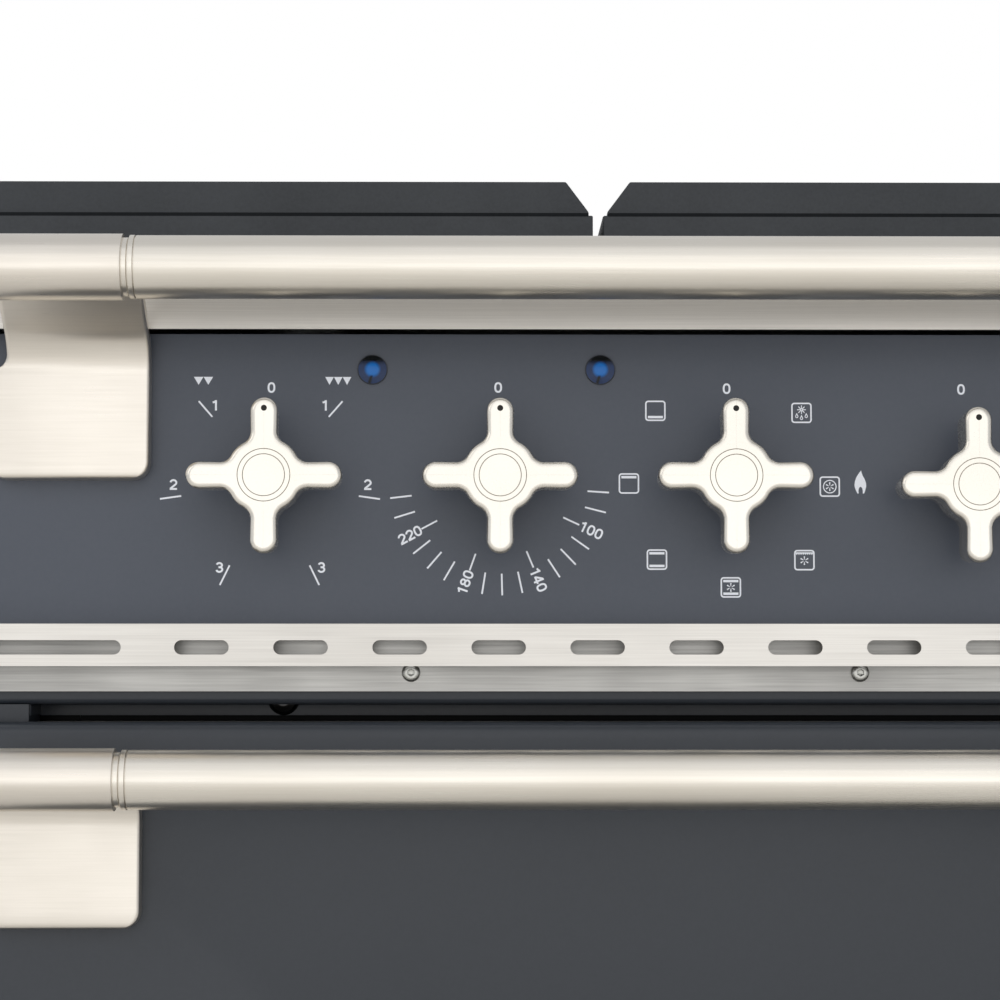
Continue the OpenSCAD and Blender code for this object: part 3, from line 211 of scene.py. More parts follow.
def set_back(radius: float, travel: Array) -> Array:
    """How far a rounded corner lies back from its side.

    The corner is a quarter circle, so at a distance t from its start the gap is
    r - sqrt(r^2 - (r - t)^2).

    Args:
        radius: Radius of the corner.
        travel: Distances from the corner's start.

    Returns:
        The gap at each distance.
    """
    rest = np.clip(radius - travel, 0.0, radius)
    return radius - np.sqrt(np.maximum(radius**2 - rest**2, 0.0))


def circle(radius: float, angles: Array) -> Array:
    """Points on a circle about the origin at the given angles."""
    return np.stack([radius * np.cos(angles), radius * np.sin(angles)], axis=-1)


def refined(ring: Array, parts: Array) -> Array:
    """Divides each side of a closed ring into its own number of parts.

    Args:
        ring: Points of the ring.
        parts: Number of parts of the side that starts at each point.

    Returns:
        The ring with the added points.
    """
    side = np.repeat(np.arange(len(ring)), parts)
    share = (np.arange(parts.sum()) - (np.cumsum(parts) - parts)[side]) / parts[side]
    return ring[side] + (np.roll(ring, -1, axis=0) - ring)[side] * share[:, None]


# ---------------------------------------------------------------- meshes


@dataclass(frozen=True)
class Place:
    """Puts flat drawings into the cooker's space."""

    facing: Facing
    origin: tuple[float, float, float] = (0.0, 0.0, 0.0)

    def put(self, drawing: Array, height: Array | float) -> Array:
        """Adds the third coordinate to a drawing and moves it into place.

        Args:
            drawing: Points, shape (..., 2).
            height: Height of the points along the facing direction.

        Returns:
            Points with x, depth and z, shape (..., 3).
        """
        u, v = drawing[..., 0], drawing[..., 1]
        h = np.broadcast_to(np.asarray(height, float), u.shape)
        order = {Facing.FRONT: (u, -h, v), Facing.UP: (u, v, h), Facing.SIDE: (h, u, v)}
        return np.stack(order[self.facing], axis=-1) + np.asarray(self.origin)


@dataclass
class Shape:
    """Collects skins of points and turns them into one closed mesh."""

    points: list[Array] = field(default_factory=list)
    faces: list[list[int]] = field(default_factory=list)
    total: int = 0

    def skin(self, rings: Array, first: bool = True, last: bool = True, wrap: bool = True) -> Shape:
        """Adds a surface over rows of points.

        Args:
            rings: Points, shape (rows, points in a row, 3).
            first: Closes the first row with a face.
            last: Closes the last row with a face.
            wrap: Joins the end of each row to its start.

        Returns:
            This shape.
        """
        rows, count = rings.shape[:2]
        index = self.total + np.arange(rows * count).reshape(rows, count)
        side = np.roll(index, -1, axis=1) if wrap else index[:, 1:]
        near = index if wrap else index[:, :-1]
        quads = np.stack([near[:-1], side[:-1], side[1:], near[1:]], axis=-1).reshape(-1, 4)
        self.faces += quads.tolist()
        self.faces += [index[0, ::-1].tolist()] * first + [index[-1].tolist()] * last
        self.points.append(rings.reshape(-1, 3))
        self.total += rows * count
        return self

    def stack(self, rings: Iterable[Array], heights: Iterable[float], place: Place, first: bool = True,
              last: bool = True) -> Shape:
        """Adds a surface over flat rings, each at its own height.

        Args:
            rings: Drawings with the same number of points.
            heights: Height of each.
            place: Where they stand.
            first: Closes the first ring with a face.
            last: Closes the last ring with a face.

        Returns:
            This shape.
        """
        rows = [place.put(ring, height) for ring, height in zip(rings, heights)]
        return self.skin(np.stack(rows), first, last)

    def solid(self, outline: Outline, low: float, high: float, place: Place, edge: float) -> Shape:
        """Adds a prism with a rounded edge at its high end.

        Args:
            outline: Drawing of the prism.
            low: Height where it starts.
            high: Height where it ends.
            place: Where it stands.
            edge: Radius of the edge.

        Returns:
            This shape.
        """
        insets, left = quarter(edge)
        rings = [outline.inset(amount) for amount in (0.0, *insets)]
        return self.stack(rings, (low, *(high - left)), place)

    def lathe(self, profile: Array, place: Place, segments: int = 64) -> Shape:
        """Adds a turned body.

        A point at height h and radius r sweeps the circle (r cos a, r sin a, h).

        Args:
            profile: Heights and radii in order.
            place: Axis of the body.
            segments: Segments round the axis.

        Returns:
            This shape.
        """
        angles = np.linspace(0.0, 2.0 * np.pi, segments, endpoint=False)
        rings = profile[:, 1, None, None] * circle(1.0, angles)[None]
        closed = bool(np.allclose(profile[0], profile[-1]))
        return self.skin(place.put(rings, profile[:, 0, None]), not closed, not closed)

    def mesh(self, name: str, depth_zero: float) -> bpy.types.Mesh:
        """Writes the collected skins as one welded mesh in metres.

        Args:
            name: Name of the mesh.
            depth_zero: Scene depth of the control panel face, in millimetres.

        Returns:
            The mesh, with its seams merged and its faces pointing outwards.
        """
        points = np.vstack(self.points) + np.array([0.0, depth_zero, 0.0])
        mesh = bpy.data.meshes.new(name)
        mesh.from_pydata((points * MM).tolist(), [], self.faces)
        work = bmesh.new()
        work.from_mesh(mesh)
        bmesh.ops.remove_doubles(work, verts=work.verts, dist=4e-6)
        bmesh.ops.dissolve_degenerate(work, edges=work.edges, dist=1e-6)
        bmesh.ops.recalc_face_normals(work, faces=work.faces)
        work.to_mesh(mesh)
        work.free()
        return mesh


def smooth(mesh: bpy.types.Mesh, angle: float) -> None:
    """Shades a mesh smooth up to an angle between faces.

    Args:
        mesh: Mesh to shade.
        angle: Largest smooth angle in degrees.
    """
    mesh.shade_smooth()
    mesh.set_sharp_from_angle(angle=float(np.radians(angle)))


def coordinates(mesh: bpy.types.Mesh) -> Array:
    """Points of a mesh in millimetres, one row each."""
    flat = np.empty(len(mesh.vertices) * 3)
    mesh.vertices.foreach_get("co", flat)
    return flat.reshape(-1, 3) / MM


def show(name: str, data: bpy.types.ID) -> bpy.types.Object:
    """Adds an object with the given mesh, light or camera to the scene."""
    thing = bpy.data.objects.new(name, data)
    bpy.context.scene.collection.objects.link(thing)
    return thing


# ---------------------------------------------------------------- finishes


def linear(code: str, alpha: float = 1.0) -> tuple[float, float, float, float]:
    """Turns an sRGB hex colour into linear values.

    Args:
        code: Colour such as "#54575f".
        alpha: Opacity.

    Returns:
        Red, green, blue and alpha.
    """
    srgb = np.array([int(code[i:i + 2], 16) for i in (1, 3, 5)]) / 255.0
    value = np.where(srgb <= 0.04045, srgb / 12.92, ((srgb + 0.055) / 1.055) ** 2.4)
    return (float(value[0]), float(value[1]), float(value[2]), alpha)


def add(tree: bpy.types.NodeTree, kind: str, values: dict | None = None, links: dict | None = None,
        **settings: object) -> bpy.types.Node:
    """Adds a node with its settings, socket values and links.

    Args:
        tree: Node tree to add to.
        kind: Blender's name of the node type.
        values: Values by input socket.
        links: Source sockets by input socket.
        **settings: Properties of the node.

    Returns:
        The node.
    """
    node = tree.nodes.new(kind)
    for key, value in settings.items():
        setattr(node, key, value)
    for key, value in (values or {}).items():
        node.inputs[key].default_value = value
    for key, source in (links or {}).items():
        tree.links.new(source, node.inputs[key])
    return node


def blend(tree: bpy.types.NodeTree, share: bpy.types.NodeSocket, first: object,
          second: object) -> bpy.types.NodeSocket:
    """Mixes two colours.

    Args:
        tree: Node tree to add to.
        share: Share of the second colour.
        first: Hex code or source socket.
        second: Hex code or source socket.

    Returns:
        The mixed colour.
    """
    ends = {6: first, 7: second}
    values = {i: linear(end) for i, end in ends.items() if isinstance(end, str)}
    links = {i: end for i, end in ends.items() if not isinstance(end, str)}
    return add(tree, "ShaderNodeMix", values, {0: share, **links}, data_type="RGBA").outputs[2]


class Pattern(Enum):
    """Which texture a finish varies with."""

    GRAIN = "ShaderNodeTexNoise"
    SPANGLE = "ShaderNodeTexVoronoi"


@dataclass(frozen=True)
class Finish:
    """A surface whose tone, gloss and relief vary with a pattern of a real size.

    Attributes:
        name: Name of the material.
        colour: Main colour.
        tone: Colour of the pattern's darker parts.
        roughness: Middle roughness.
        spread: How far the roughness moves either way.
        metallic: 1 for bare metal.
        cell: Size of the pattern's cells along x, y and z in millimetres.
        relief: Height of the pattern in millimetres.
        mix: Largest share of the tone.
        patch: Size in millimetres of slow changes over the surface.
        coat: Weight of a clear glossy layer.
        pattern: Texture of the pattern.
        specular: Strength of the reflection of a surface that isn't metal.
    """

    name: str
    colour: str
    tone: str
    roughness: float
    spread: float = 0.05
    metallic: float = 0.0
    cell: tuple[float, float, float] = (1.0, 1.0, 1.0)
    relief: float = 0.01
    mix: float = 0.5
    patch: float = 60.0
    coat: float = 0.0
    pattern: Pattern = Pattern.GRAIN
    specular: float = 0.5

    def material(self) -> bpy.types.Material:
        """Builds the material once and returns it."""
        found = bpy.data.materials.get(self.name)
        return found if found else self.build()

    def blank(self) -> tuple[bpy.types.Material, bpy.types.NodeTree, bpy.types.Node]:
        """Starts a material and returns it with its node tree and shader."""
        material = bpy.data.materials.new(self.name)
        material.use_nodes = True
        shader = material.node_tree.nodes["Principled BSDF"]
        for key, value in (("Metallic", self.metallic), ("Coat Weight", self.coat),
                           ("Roughness", self.roughness), ("Specular IOR Level", self.specular)):
            shader.inputs[key].default_value = value
        return material, material.node_tree, shader

    def build(self) -> bpy.types.Material:
        """Builds the node tree: pattern to tone, roughness and bump."""
        material, tree, shader = self.blank()
        place = add(tree, "ShaderNodeTexCoord").outputs["Object"]
        scaled = add(tree, "ShaderNodeMapping", {"Scale": [1.0 / (MM * size) for size in self.cell]},
                     {"Vector": place}).outputs["Vector"]
        fine_settings = {"Scale": 1.0, "Detail": 3.0} if self.pattern is Pattern.GRAIN else {"Scale": 1.0}
        texture = add(tree, self.pattern.value, fine_settings, {"Vector": scaled})
        fine = texture.outputs["Fac" if self.pattern is Pattern.GRAIN else "Color"]
        slow = add(tree, "ShaderNodeTexNoise", {"Scale": 1.0 / (MM * self.patch), "Detail": 2.0},
                   {"Vector": place}).outputs["Fac"]
        both = add(tree, "ShaderNodeMath", {1: 0.5}, {0: fine}, operation="MULTIPLY").outputs[0]
        level = add(tree, "ShaderNodeMath", {1: 0.5}, {0: slow, 2: both},
                    operation="MULTIPLY_ADD").outputs[0]
        share = add(tree, "ShaderNodeMapRange",
                    {"From Min": 0.35, "From Max": 0.7, "To Min": 0.0, "To Max": self.mix},
                    {"Value": level}).outputs[0]
        tint = blend(tree, share, self.colour, self.tone)
        gloss = add(tree, "ShaderNodeMapRange",
                    {"From Min": 0.3, "From Max": 0.7, "To Min": max(self.roughness - self.spread, 0.02),
                     "To Max": self.roughness + self.spread}, {"Value": level}).outputs[0]
        bump = add(tree, "ShaderNodeBump", {"Strength": 1.0, "Distance": MM * self.relief},
                   {"Height": fine}).outputs["Normal"]
        for socket, source in (("Base Color", tint), ("Roughness", gloss), ("Normal", bump)):
            tree.links.new(source, shader.inputs[socket])
        return material


@dataclass(frozen=True)
class Glass(Finish):
    """Tinted float glass: clear, smooth and slightly uneven."""

    def build(self) -> bpy.types.Material:
        """Builds the pane's material on top of the plain finish."""
        material = Finish.build(self)
        shader = material.node_tree.nodes["Principled BSDF"]
        shader.inputs["Transmission Weight"].default_value = 1.0
        shader.inputs["IOR"].default_value = 1.5
        return material


@dataclass(frozen=True)
class Lens(Finish):
    """Clear blue polycarbonate over a lit core: the core's glow and the dark crescent under the rim are
    painted, with their tones in the piece's own attributes.
    """

    core: str = "#1d6fc2"
    shade: str = "#01060b"

    def build(self) -> bpy.types.Material:
        """Mixes ring, core and shade by the attributes lit and dark."""
        material, tree, shader = self.blank()
        place = add(tree, "ShaderNodeTexCoord").outputs["Object"]
        haze = add(tree, "ShaderNodeTexNoise", {"Scale": 1.0 / (MM * self.cell[0]), "Detail": 2.0},
                   {"Vector": place}).outputs["Fac"]
        lit = add(tree, "ShaderNodeAttribute", attribute_name="lit").outputs["Fac"]
        dark = add(tree, "ShaderNodeAttribute", attribute_name="dark").outputs["Fac"]
        ring = blend(tree, haze, self.colour, self.tone)
        shaded = blend(tree, dark, blend(tree, lit, ring, self.core), self.shade)
        tree.links.new(shaded, shader.inputs["Base Color"])
        return material


# Electroplated satin nickel over brushed brass tube: warm, with fine lines along the tube. The
# lines are about 0.1 mm apart, drawn 0.5 mm apart so that they show.
TUBE_NICKEL = Finish("satin_nickel_tube", "#e8e3da", "#dbd5ca", 0.29, 0.04, 1.0, (45.0, 0.5, 0.5), 0.0025,
                     0.6, 90.0)
# The same plate on a cast bracket, rubbed flat along x before plating: softer lines and clouds.
CAST_NICKEL = Finish("satin_nickel_casting", "#e4ded5", "#d7d1c7", 0.31, 0.04, 1.0, (30.0, 0.7, 0.7), 0.003,
                     0.55, 40.0)
# Satin nickel on die-cast zinc knobs: tumbled, so no direction, and paler than the rail.
KNOB_NICKEL = Finish("satin_nickel_knob", "#e8e4dc", "#e0dbd1", 0.26, 0.04, 1.0, (0.8, 0.8, 0.8), 0.002,
                     0.4, 30.0)
# Cold rolled stainless sheet, belt brushed along x: cool grey with long lines.
STAINLESS = Finish("brushed_stainless", "#d9d6d1", "#c1beb9", 0.38, 0.05, 1.0, (60.0, 0.55, 0.55), 0.004,
                   0.7, 80.0)
# The same sheet under the outlet lip, darker and a little duller: the darker colour is painted shade, as
# the lip above keeps the light off it.
SHADED_STAINLESS = Finish("brushed_stainless_painted_shade", "#b4b3b0", "#969593", 0.4, 0.06, 1.0, (40.0, 0.6, 0.6),
                        0.005, 0.7, 50.0)
# Powder coat fired on sheet steel, slate grey: half matt with a very fine orange peel.
PANEL_ENAMEL = Finish("slate_enamel_panel", "#4a505c", "#454b57", 0.45, 0.04, 0.0, (1.6, 1.6, 1.6), 0.006,
                      0.6, 120.0)
# The same enamel on the outside panels, a little darker: the difference is painted shade, as these faces
# stand in less light than the control panel.
SHADED_BODY_ENAMEL = Finish("slate_enamel_body_painted_shade", "#2f343c", "#2b3037", 0.42, 0.04, 0.0, (1.6, 1.6, 1.6), 0.006,
                     0.6, 150.0)
# The frame behind the door, near black with almost no reflection: painted shade of the deep recess it lies
# in.
RECESS_SHADE_BLACK = Finish("frame_painted_shade", "#040505", "#020303", 0.25, 0.03, 0.0, (3.0, 3.0, 3.0), 0.006,
                      0.6, 60.0, 0.0, Pattern.GRAIN, 0.03)
# Pyrolytic oven enamel: dark grey with pale specks, glossy and slightly wavy.
OVEN_ENAMEL = Finish("speckled_oven_enamel", "#2a2c31", "#3f4248", 0.22, 0.05, 0.0, (1.2, 1.2, 1.2), 0.01,
                     0.8, 50.0, 0.3)
# Cast iron under a matt enamel: grainy, almost black grey.
CAST_ENAMEL = Finish("matt_enamelled_cast_iron", "#292e34", "#23272c", 0.5, 0.07, 0.0, (1.3, 1.3, 1.3),
                     0.03, 0.8, 40.0)
# A dark strip along the step of each pan support: painted shade under the step.
STEP_SHADE = Finish("painted_crease_shade", "#191c1f", "#14171a", 0.7, 0.05, 0.0, (1.3, 1.3, 1.3), 0.02, 0.6, 40.0,
                specular=0.1)
# Burner caps: the same iron with a blacker enamel.
CAP_ENAMEL = Finish("black_enamelled_cap", "#26282b", "#1c1e20", 0.42, 0.06, 0.0, (0.9, 0.9, 0.9), 0.02,
                    0.7, 30.0)
# Die-cast aluminium burner, shot blasted: pale, even grit.
CAST_ALUMINIUM = Finish("shot_blasted_aluminium", "#a3a5a6", "#8b8d8f", 0.48, 0.08, 1.0, (0.7, 0.7, 0.7),
                        0.03, 0.8, 25.0)
# Hot dipped galvanised sheet: flat crystals about 12 mm wide in slightly different greys.
GALVANISED = Finish("galvanised_sheet", "#a9acae", "#8f9396", 0.38, 0.1, 1.0, (12.0, 12.0, 12.0), 0.001,
                    0.8, 60.0, 0.0, Pattern.SPANGLE)
# Floor pan and drawer runners: black painted sheet.
BLACK_PAINT = Finish("black_painted_sheet", "#2c2e31", "#242629", 0.5, 0.06, 0.0, (1.2, 1.2, 1.2), 0.01,
                     0.7, 80.0)
# Bright zinc plated steel of screws, feet and stems: fine turned lines.
ZINC = Finish("zinc_plated_steel", "#c6c6c2", "#a9a9a4", 0.28, 0.06, 1.0, (0.5, 0.5, 0.5), 0.004, 0.7, 15.0)
# Bright chromed wire of the racks: nearly a mirror, with small dull spots.
CHROME_WIRE = Finish("chromed_wire", "#d3d4d4", "#b4b6b7", 0.14, 0.05, 1.0, (4.0, 4.0, 4.0), 0.002, 0.6,
                     25.0)
# Heating rods: stainless tube blued and dulled by heat, with bands of oxide.
OXIDE = Finish("heat_dulled_rod", "#6b655d", "#47423d", 0.5, 0.1, 1.0, (18.0, 18.0, 3.0), 0.006, 0.9, 35.0)
# Pressed aluminised fan and motor shell.
FAN_METAL = Finish("aluminised_sheet", "#b0b1b0", "#989a9b", 0.4, 0.08, 1.0, (2.5, 2.5, 2.5), 0.004, 0.7,
                   40.0)
# Cast and machined brass of the gas taps.
BRASS = Finish("machined_brass", "#c9a45e", "#a98645", 0.33, 0.08, 1.0, (0.8, 0.8, 0.8), 0.006, 0.7, 20.0)
# Drawn steel gas pipe, zinc plated and passivated.
PIPE = Finish("passivated_pipe", "#a7a99f", "#8c8e86", 0.36, 0.07, 1.0, (6.0, 0.8, 0.8), 0.004, 0.7, 50.0)
# Moulded ivory thermoset of the switch housings.
THERMOSET = Finish("moulded_thermoset", "#ddd6c4", "#cfc7b3", 0.45, 0.05, 0.0, (0.9, 0.9, 0.9), 0.008, 0.5,
                   20.0)
# Moulded black rubber: smooth, with a soft shine.
RUBBER = Finish("moulded_rubber", "#101112", "#0a0b0b", 0.16, 0.04, 0.0, (1.0, 1.0, 1.0), 0.003, 0.5, 8.0,
                0.5)
# Braided glass fibre rope of the door seal: fine slanting strands.
FIBRE = Finish("braided_glass_fibre", "#5c5c59", "#3a3a38", 0.8, 0.05, 0.0, (2.0, 0.8, 2.0), 0.25, 1.0,
               12.0)
# Screen printed white ink.
INK = Finish("screen_printed_ink", "#f2f6ff", "#e8edf8", 0.55, 0.04, 0.0, (0.6, 0.6, 0.6), 0.002, 0.5, 9.0)
# Near black for the knob's index hole: painted shade of the hole, on a disc just proud of the face.
HOLE_SHADE = Finish("painted_hole_shade", "#14120f", "#0c0b09", 0.7, 0.05, 0.0, (0.5, 0.5, 0.5), 0.01, 0.5, 5.0)
# Fine engraved line, darker than the knob's plate: painted shade in the groove.
GROOVE_SHADE = Finish("engraved_line_shade", "#8d867a", "#746d62", 0.5, 0.05, 1.0, (0.4, 0.4, 0.4), 0.003, 0.5, 5.0)
WINDOW_GLASS = Glass("tinted_window_glass", "#5b6266", "#555c60", 0.03, 0.01, 0.0, (80.0, 80.0, 80.0),
                     0.01, 0.5, 200.0)
INNER_GLASS = Glass("clear_inner_glass", "#cfd4d4", "#c6cccc", 0.03, 0.01, 0.0, (80.0, 80.0, 80.0), 0.01,
                    0.5, 200.0)
LAMP_GLASS = Glass("frosted_lamp_glass", "#efeae0", "#e3ddd2", 0.35, 0.05, 0.0, (1.0, 1.0, 1.0), 0.02, 0.5,
                   20.0)
LENS_BLUE = Lens("blue_indicator_lens", "#14264a", "#1d3763", 0.2, coat=0.1, cell=(2.0, 2.0, 2.0),
                 specular=0.25)
# Moulded bezel round the lens: almost black with a blue cast.
BEZEL = Finish("lens_bezel", "#141d2b", "#0d141f", 0.3, 0.03, 0.0, (1.0, 1.0, 1.0), 0.002, 0.5, 5.0)


# ---------------------------------------------------------------- setting pieces in the frame


@dataclass(frozen=True)
class Bench:
    """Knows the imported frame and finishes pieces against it.

    Attributes:
        nodes: CAD objects by node name.
        slots: Material slot by node name.
        panel_depth: Scene depth of the control panel face in millimetres.
    """

    nodes: dict
    slots: dict
    panel_depth: float

    def low(self, node: str) -> Array:
        """Lowest corner of a CAD node: x, depth from the panel face and z, in millimetres."""
        return np.array(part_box(node)[0]) / MM - np.array([0.0, self.panel_depth, 0.0])

    def high(self, node: str) -> Array:
        """Highest corner of a CAD node, in the same units."""
        return np.array(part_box(node)[1]) / MM - np.array([0.0, self.panel_depth, 0.0])

    def middle(self, node: str) -> Array:
        """Centre of a CAD node's box, in the same units."""
        return (self.low(node) + self.high(node)) / 2.0

    def points(self, node: str) -> Array:
        """Corners of a CAD node's mesh in the same units, one row each."""
        return coordinates(self.nodes[node].data) - np.array([0.0, self.panel_depth, 0.0])

    def finish(self, shape: Shape, name: str, finish: Finish, body: str, *replaced: str,
               slot: str | None = None, angle: float = 32.0) -> bpy.types.Object:
        """Turns a shape into a finished piece that rides on a body.

        Args:
            shape: Shape to write.
            name: Name of the piece.
            finish: Surface of the piece.
            body: CAD body that carries it.
            *replaced: CAD nodes that it stands for.
            slot: Material slot, taken from the first replaced node if not given.
            angle: Largest smooth angle in degrees.

        Returns:
            The piece.
        """
        mesh = shape.mesh(name, self.panel_depth)
        smooth(mesh, angle)
        return self.settle(show(name, mesh), finish, body, *replaced, slot=slot)

    def settle(self, piece: bpy.types.Object, finish: Finish, body: str, *replaced: str,
               slot: str | None = None) -> bpy.types.Object:
        """Gives a piece its material, body, slot and replaced nodes.

        Args:
            piece: Object at the origin.
            finish: Surface of the piece.
            body: CAD body that carries it.
            *replaced: CAD nodes that it stands for.
            slot: Material slot, taken from the first replaced node if not given.

        Returns:
            The piece.
        """
        piece.data.materials.clear()
        piece.data.materials.append(finish.material())
        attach(piece, body)
        if replaced:
            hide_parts(*replaced)
        LOG.info("%s: %d faces, %s, on %s", piece.name, len(piece.data.polygons), finish.name, body)
        return piece


@dataclass(frozen=True)
class Move:
    """Corners on both sides of a piece that are set further on.

    Attributes:
        low: Smallest distance from the middle plane and smallest height, in millimetres.
        high: Largest distance and height.
        shift: Steps outward and upward.
    """

    low: tuple[float, float]
    high: tuple[float, float]
    shift: tuple[float, float]

    def apply(self, mesh: bpy.types.Mesh) -> None:
        """Moves the corners of a mesh that lie in the box.

        Args:
            mesh: Merged copy of a CAD node.
        """
        points = coordinates(mesh)
        place = np.stack([np.abs(points[:, 0]), points[:, 2]], axis=1)
        inside = np.all((place >= self.low) & (place <= self.high), axis=1)
        points[inside, 0] += np.sign(points[inside, 0]) * self.shift[0]
        points[inside, 2] += self.shift[1]
        mesh.vertices.foreach_set("co", (points * MM).ravel())
        mesh.update()


@dataclass(frozen=True)
class Dressing:
    """How a CAD node that keeps its shape is shown.

    Attributes:
        finish: Surface.
        edge: Radius in millimetres of its softened edges, 0 for none.
        angle: Largest smooth angle in degrees.
        moves: Corners that are set further on.
    """

    finish: Finish
    edge: float = 0.0
    angle: float = 40.0
    moves: tuple[Move, ...] = ()


# The painted rail runs on over the two columns, and the outer corners of the side supports are
# cut off less, because the photograph shows neither a gap nor a chamfer there.
OVER_COLUMNS = (Move((430.0, 700.0), (434.0, 740.0), (26.4, 0.0)),)
OUTER_CHAMFER = (Move((446.0, 938.0), (450.0, 941.0), (5.0, 0.0)),
                 Move((456.0, 925.9), (459.0, 927.3), (0.0, 6.7)))


@dataclass
class SheetMetalAndFittings:
    """Nodes whose CAD shape is right: they get smooth curves, softened edges and finishes.

    Attributes:
        bench: The frame.
        plain: Flat nodes that only take a finish.
        dressed: Nodes that are shown through a merged copy.
    """

    bench: Bench
    plain: dict[str, Finish] = field(default_factory=lambda: {
        "side_panel_left": SHADED_BODY_ENAMEL, "side_panel_right": SHADED_BODY_ENAMEL, "back_panel": GALVANISED,
        "base_frame": BLACK_PAINT, "front_frame": RECESS_SHADE_BLACK, "control_panel": PANEL_ENAMEL,
        "outlet_back_plate": SHADED_STAINLESS, "door_glass": WINDOW_GLASS,
        "door_inner_glass": INNER_GLASS, "drawer_box": GALVANISED})
    dressed: dict[str, Dressing] = field(default_factory=lambda: {
        "feet": Dressing(ZINC), "cross_rail": Dressing(SHADED_BODY_ENAMEL, 0.0, 50.0, OVER_COLUMNS),
        "hob_top": Dressing(STAINLESS, 0.4), "rear_vent": Dressing(STAINLESS, 0.3),
        "air_outlet": Dressing(STAINLESS, 0.3), "oven_cavity": Dressing(OVEN_ENAMEL),
        "door_seal": Dressing(FIBRE, 1.0), "shelf_runners": Dressing(CHROME_WIRE, 0.0, 60.0),
        "oven_shelf": Dressing(CHROME_WIRE, 0.0, 60.0), "baking_tray": Dressing(OVEN_ENAMEL, 0.4),
        "grill_element": Dressing(OXIDE, 0.0, 60.0), "base_element": Dressing(OXIDE, 0.0, 60.0),
        "ring_element": Dressing(OXIDE, 0.0, 60.0), "fan_cover": Dressing(OVEN_ENAMEL, 0.0, 35.0),
        "oven_fan": Dressing(FAN_METAL), "fan_motor": Dressing(FAN_METAL),
        "oven_lamp": Dressing(LAMP_GLASS), "burner_bodies": Dressing(CAST_ALUMINIUM, 0.3, 30.0),
        "pan_support_left": Dressing(CAST_ENAMEL, 0.9, moves=OUTER_CHAMFER),
        "pan_support_centre": Dressing(CAST_ENAMEL, 0.9),
        "pan_support_right": Dressing(CAST_ENAMEL, 0.9, moves=OUTER_CHAMFER),
        "gas_taps": Dressing(BRASS, 0.3),
        "gas_manifold": Dressing(PIPE, 0.5), "oven_controls": Dressing(THERMOSET, 0.6),
        "door_inner_panel": Dressing(STAINLESS, 0.4), "door_hinges": Dressing(ZINC, 0.3),
        **{f"tap_spindle_{i}": Dressing(ZINC) for i in range(1, 6)}})

    def merged_copy(self, node: str) -> bpy.types.Mesh:
        """Copies a node's loose triangles into one mesh with whole flat faces.

        Args:
            node: CAD node to copy.

        Returns:
            The merged mesh.
        """
        work = bmesh.new()
        work.from_mesh(self.bench.nodes[node].data)
        bmesh.ops.remove_doubles(work, verts=work.verts, dist=2e-6)
        bmesh.ops.dissolve_limit(work, angle_limit=float(np.radians(0.3)), verts=work.verts,
                                 edges=work.edges)
        mesh = bpy.data.meshes.new(f"{node}_dressed")
        work.to_mesh(mesh)
        work.free()
        return mesh

    def build(self) -> None:
        """Finishes every node of this group."""
        for node, finish in self.plain.items():
            materials = self.bench.nodes[node].data.materials
            materials.clear()
            materials.append(finish.material())
            LOG.info("%s: CAD shape, %s", node, finish.name)
        for node, dressing in self.dressed.items():
            mesh = self.merged_copy(node)
            for move in dressing.moves:
                move.apply(mesh)
            smooth(mesh, dressing.angle)
            piece = show(mesh.name, mesh)
            if dressing.edge:
                bevel = piece.modifiers.new("soft_edges", "BEVEL")
                bevel.width = MM * dressing.edge
                bevel.segments = 2
                bevel.limit_method = "ANGLE"
                bevel.angle_limit = float(np.radians(35.0))
                bevel.harden_normals = True
            body = self.bench.nodes[node]["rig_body"]
            self.bench.settle(piece, dressing.finish, body, node)


# ---------------------------------------------------------------- knobs


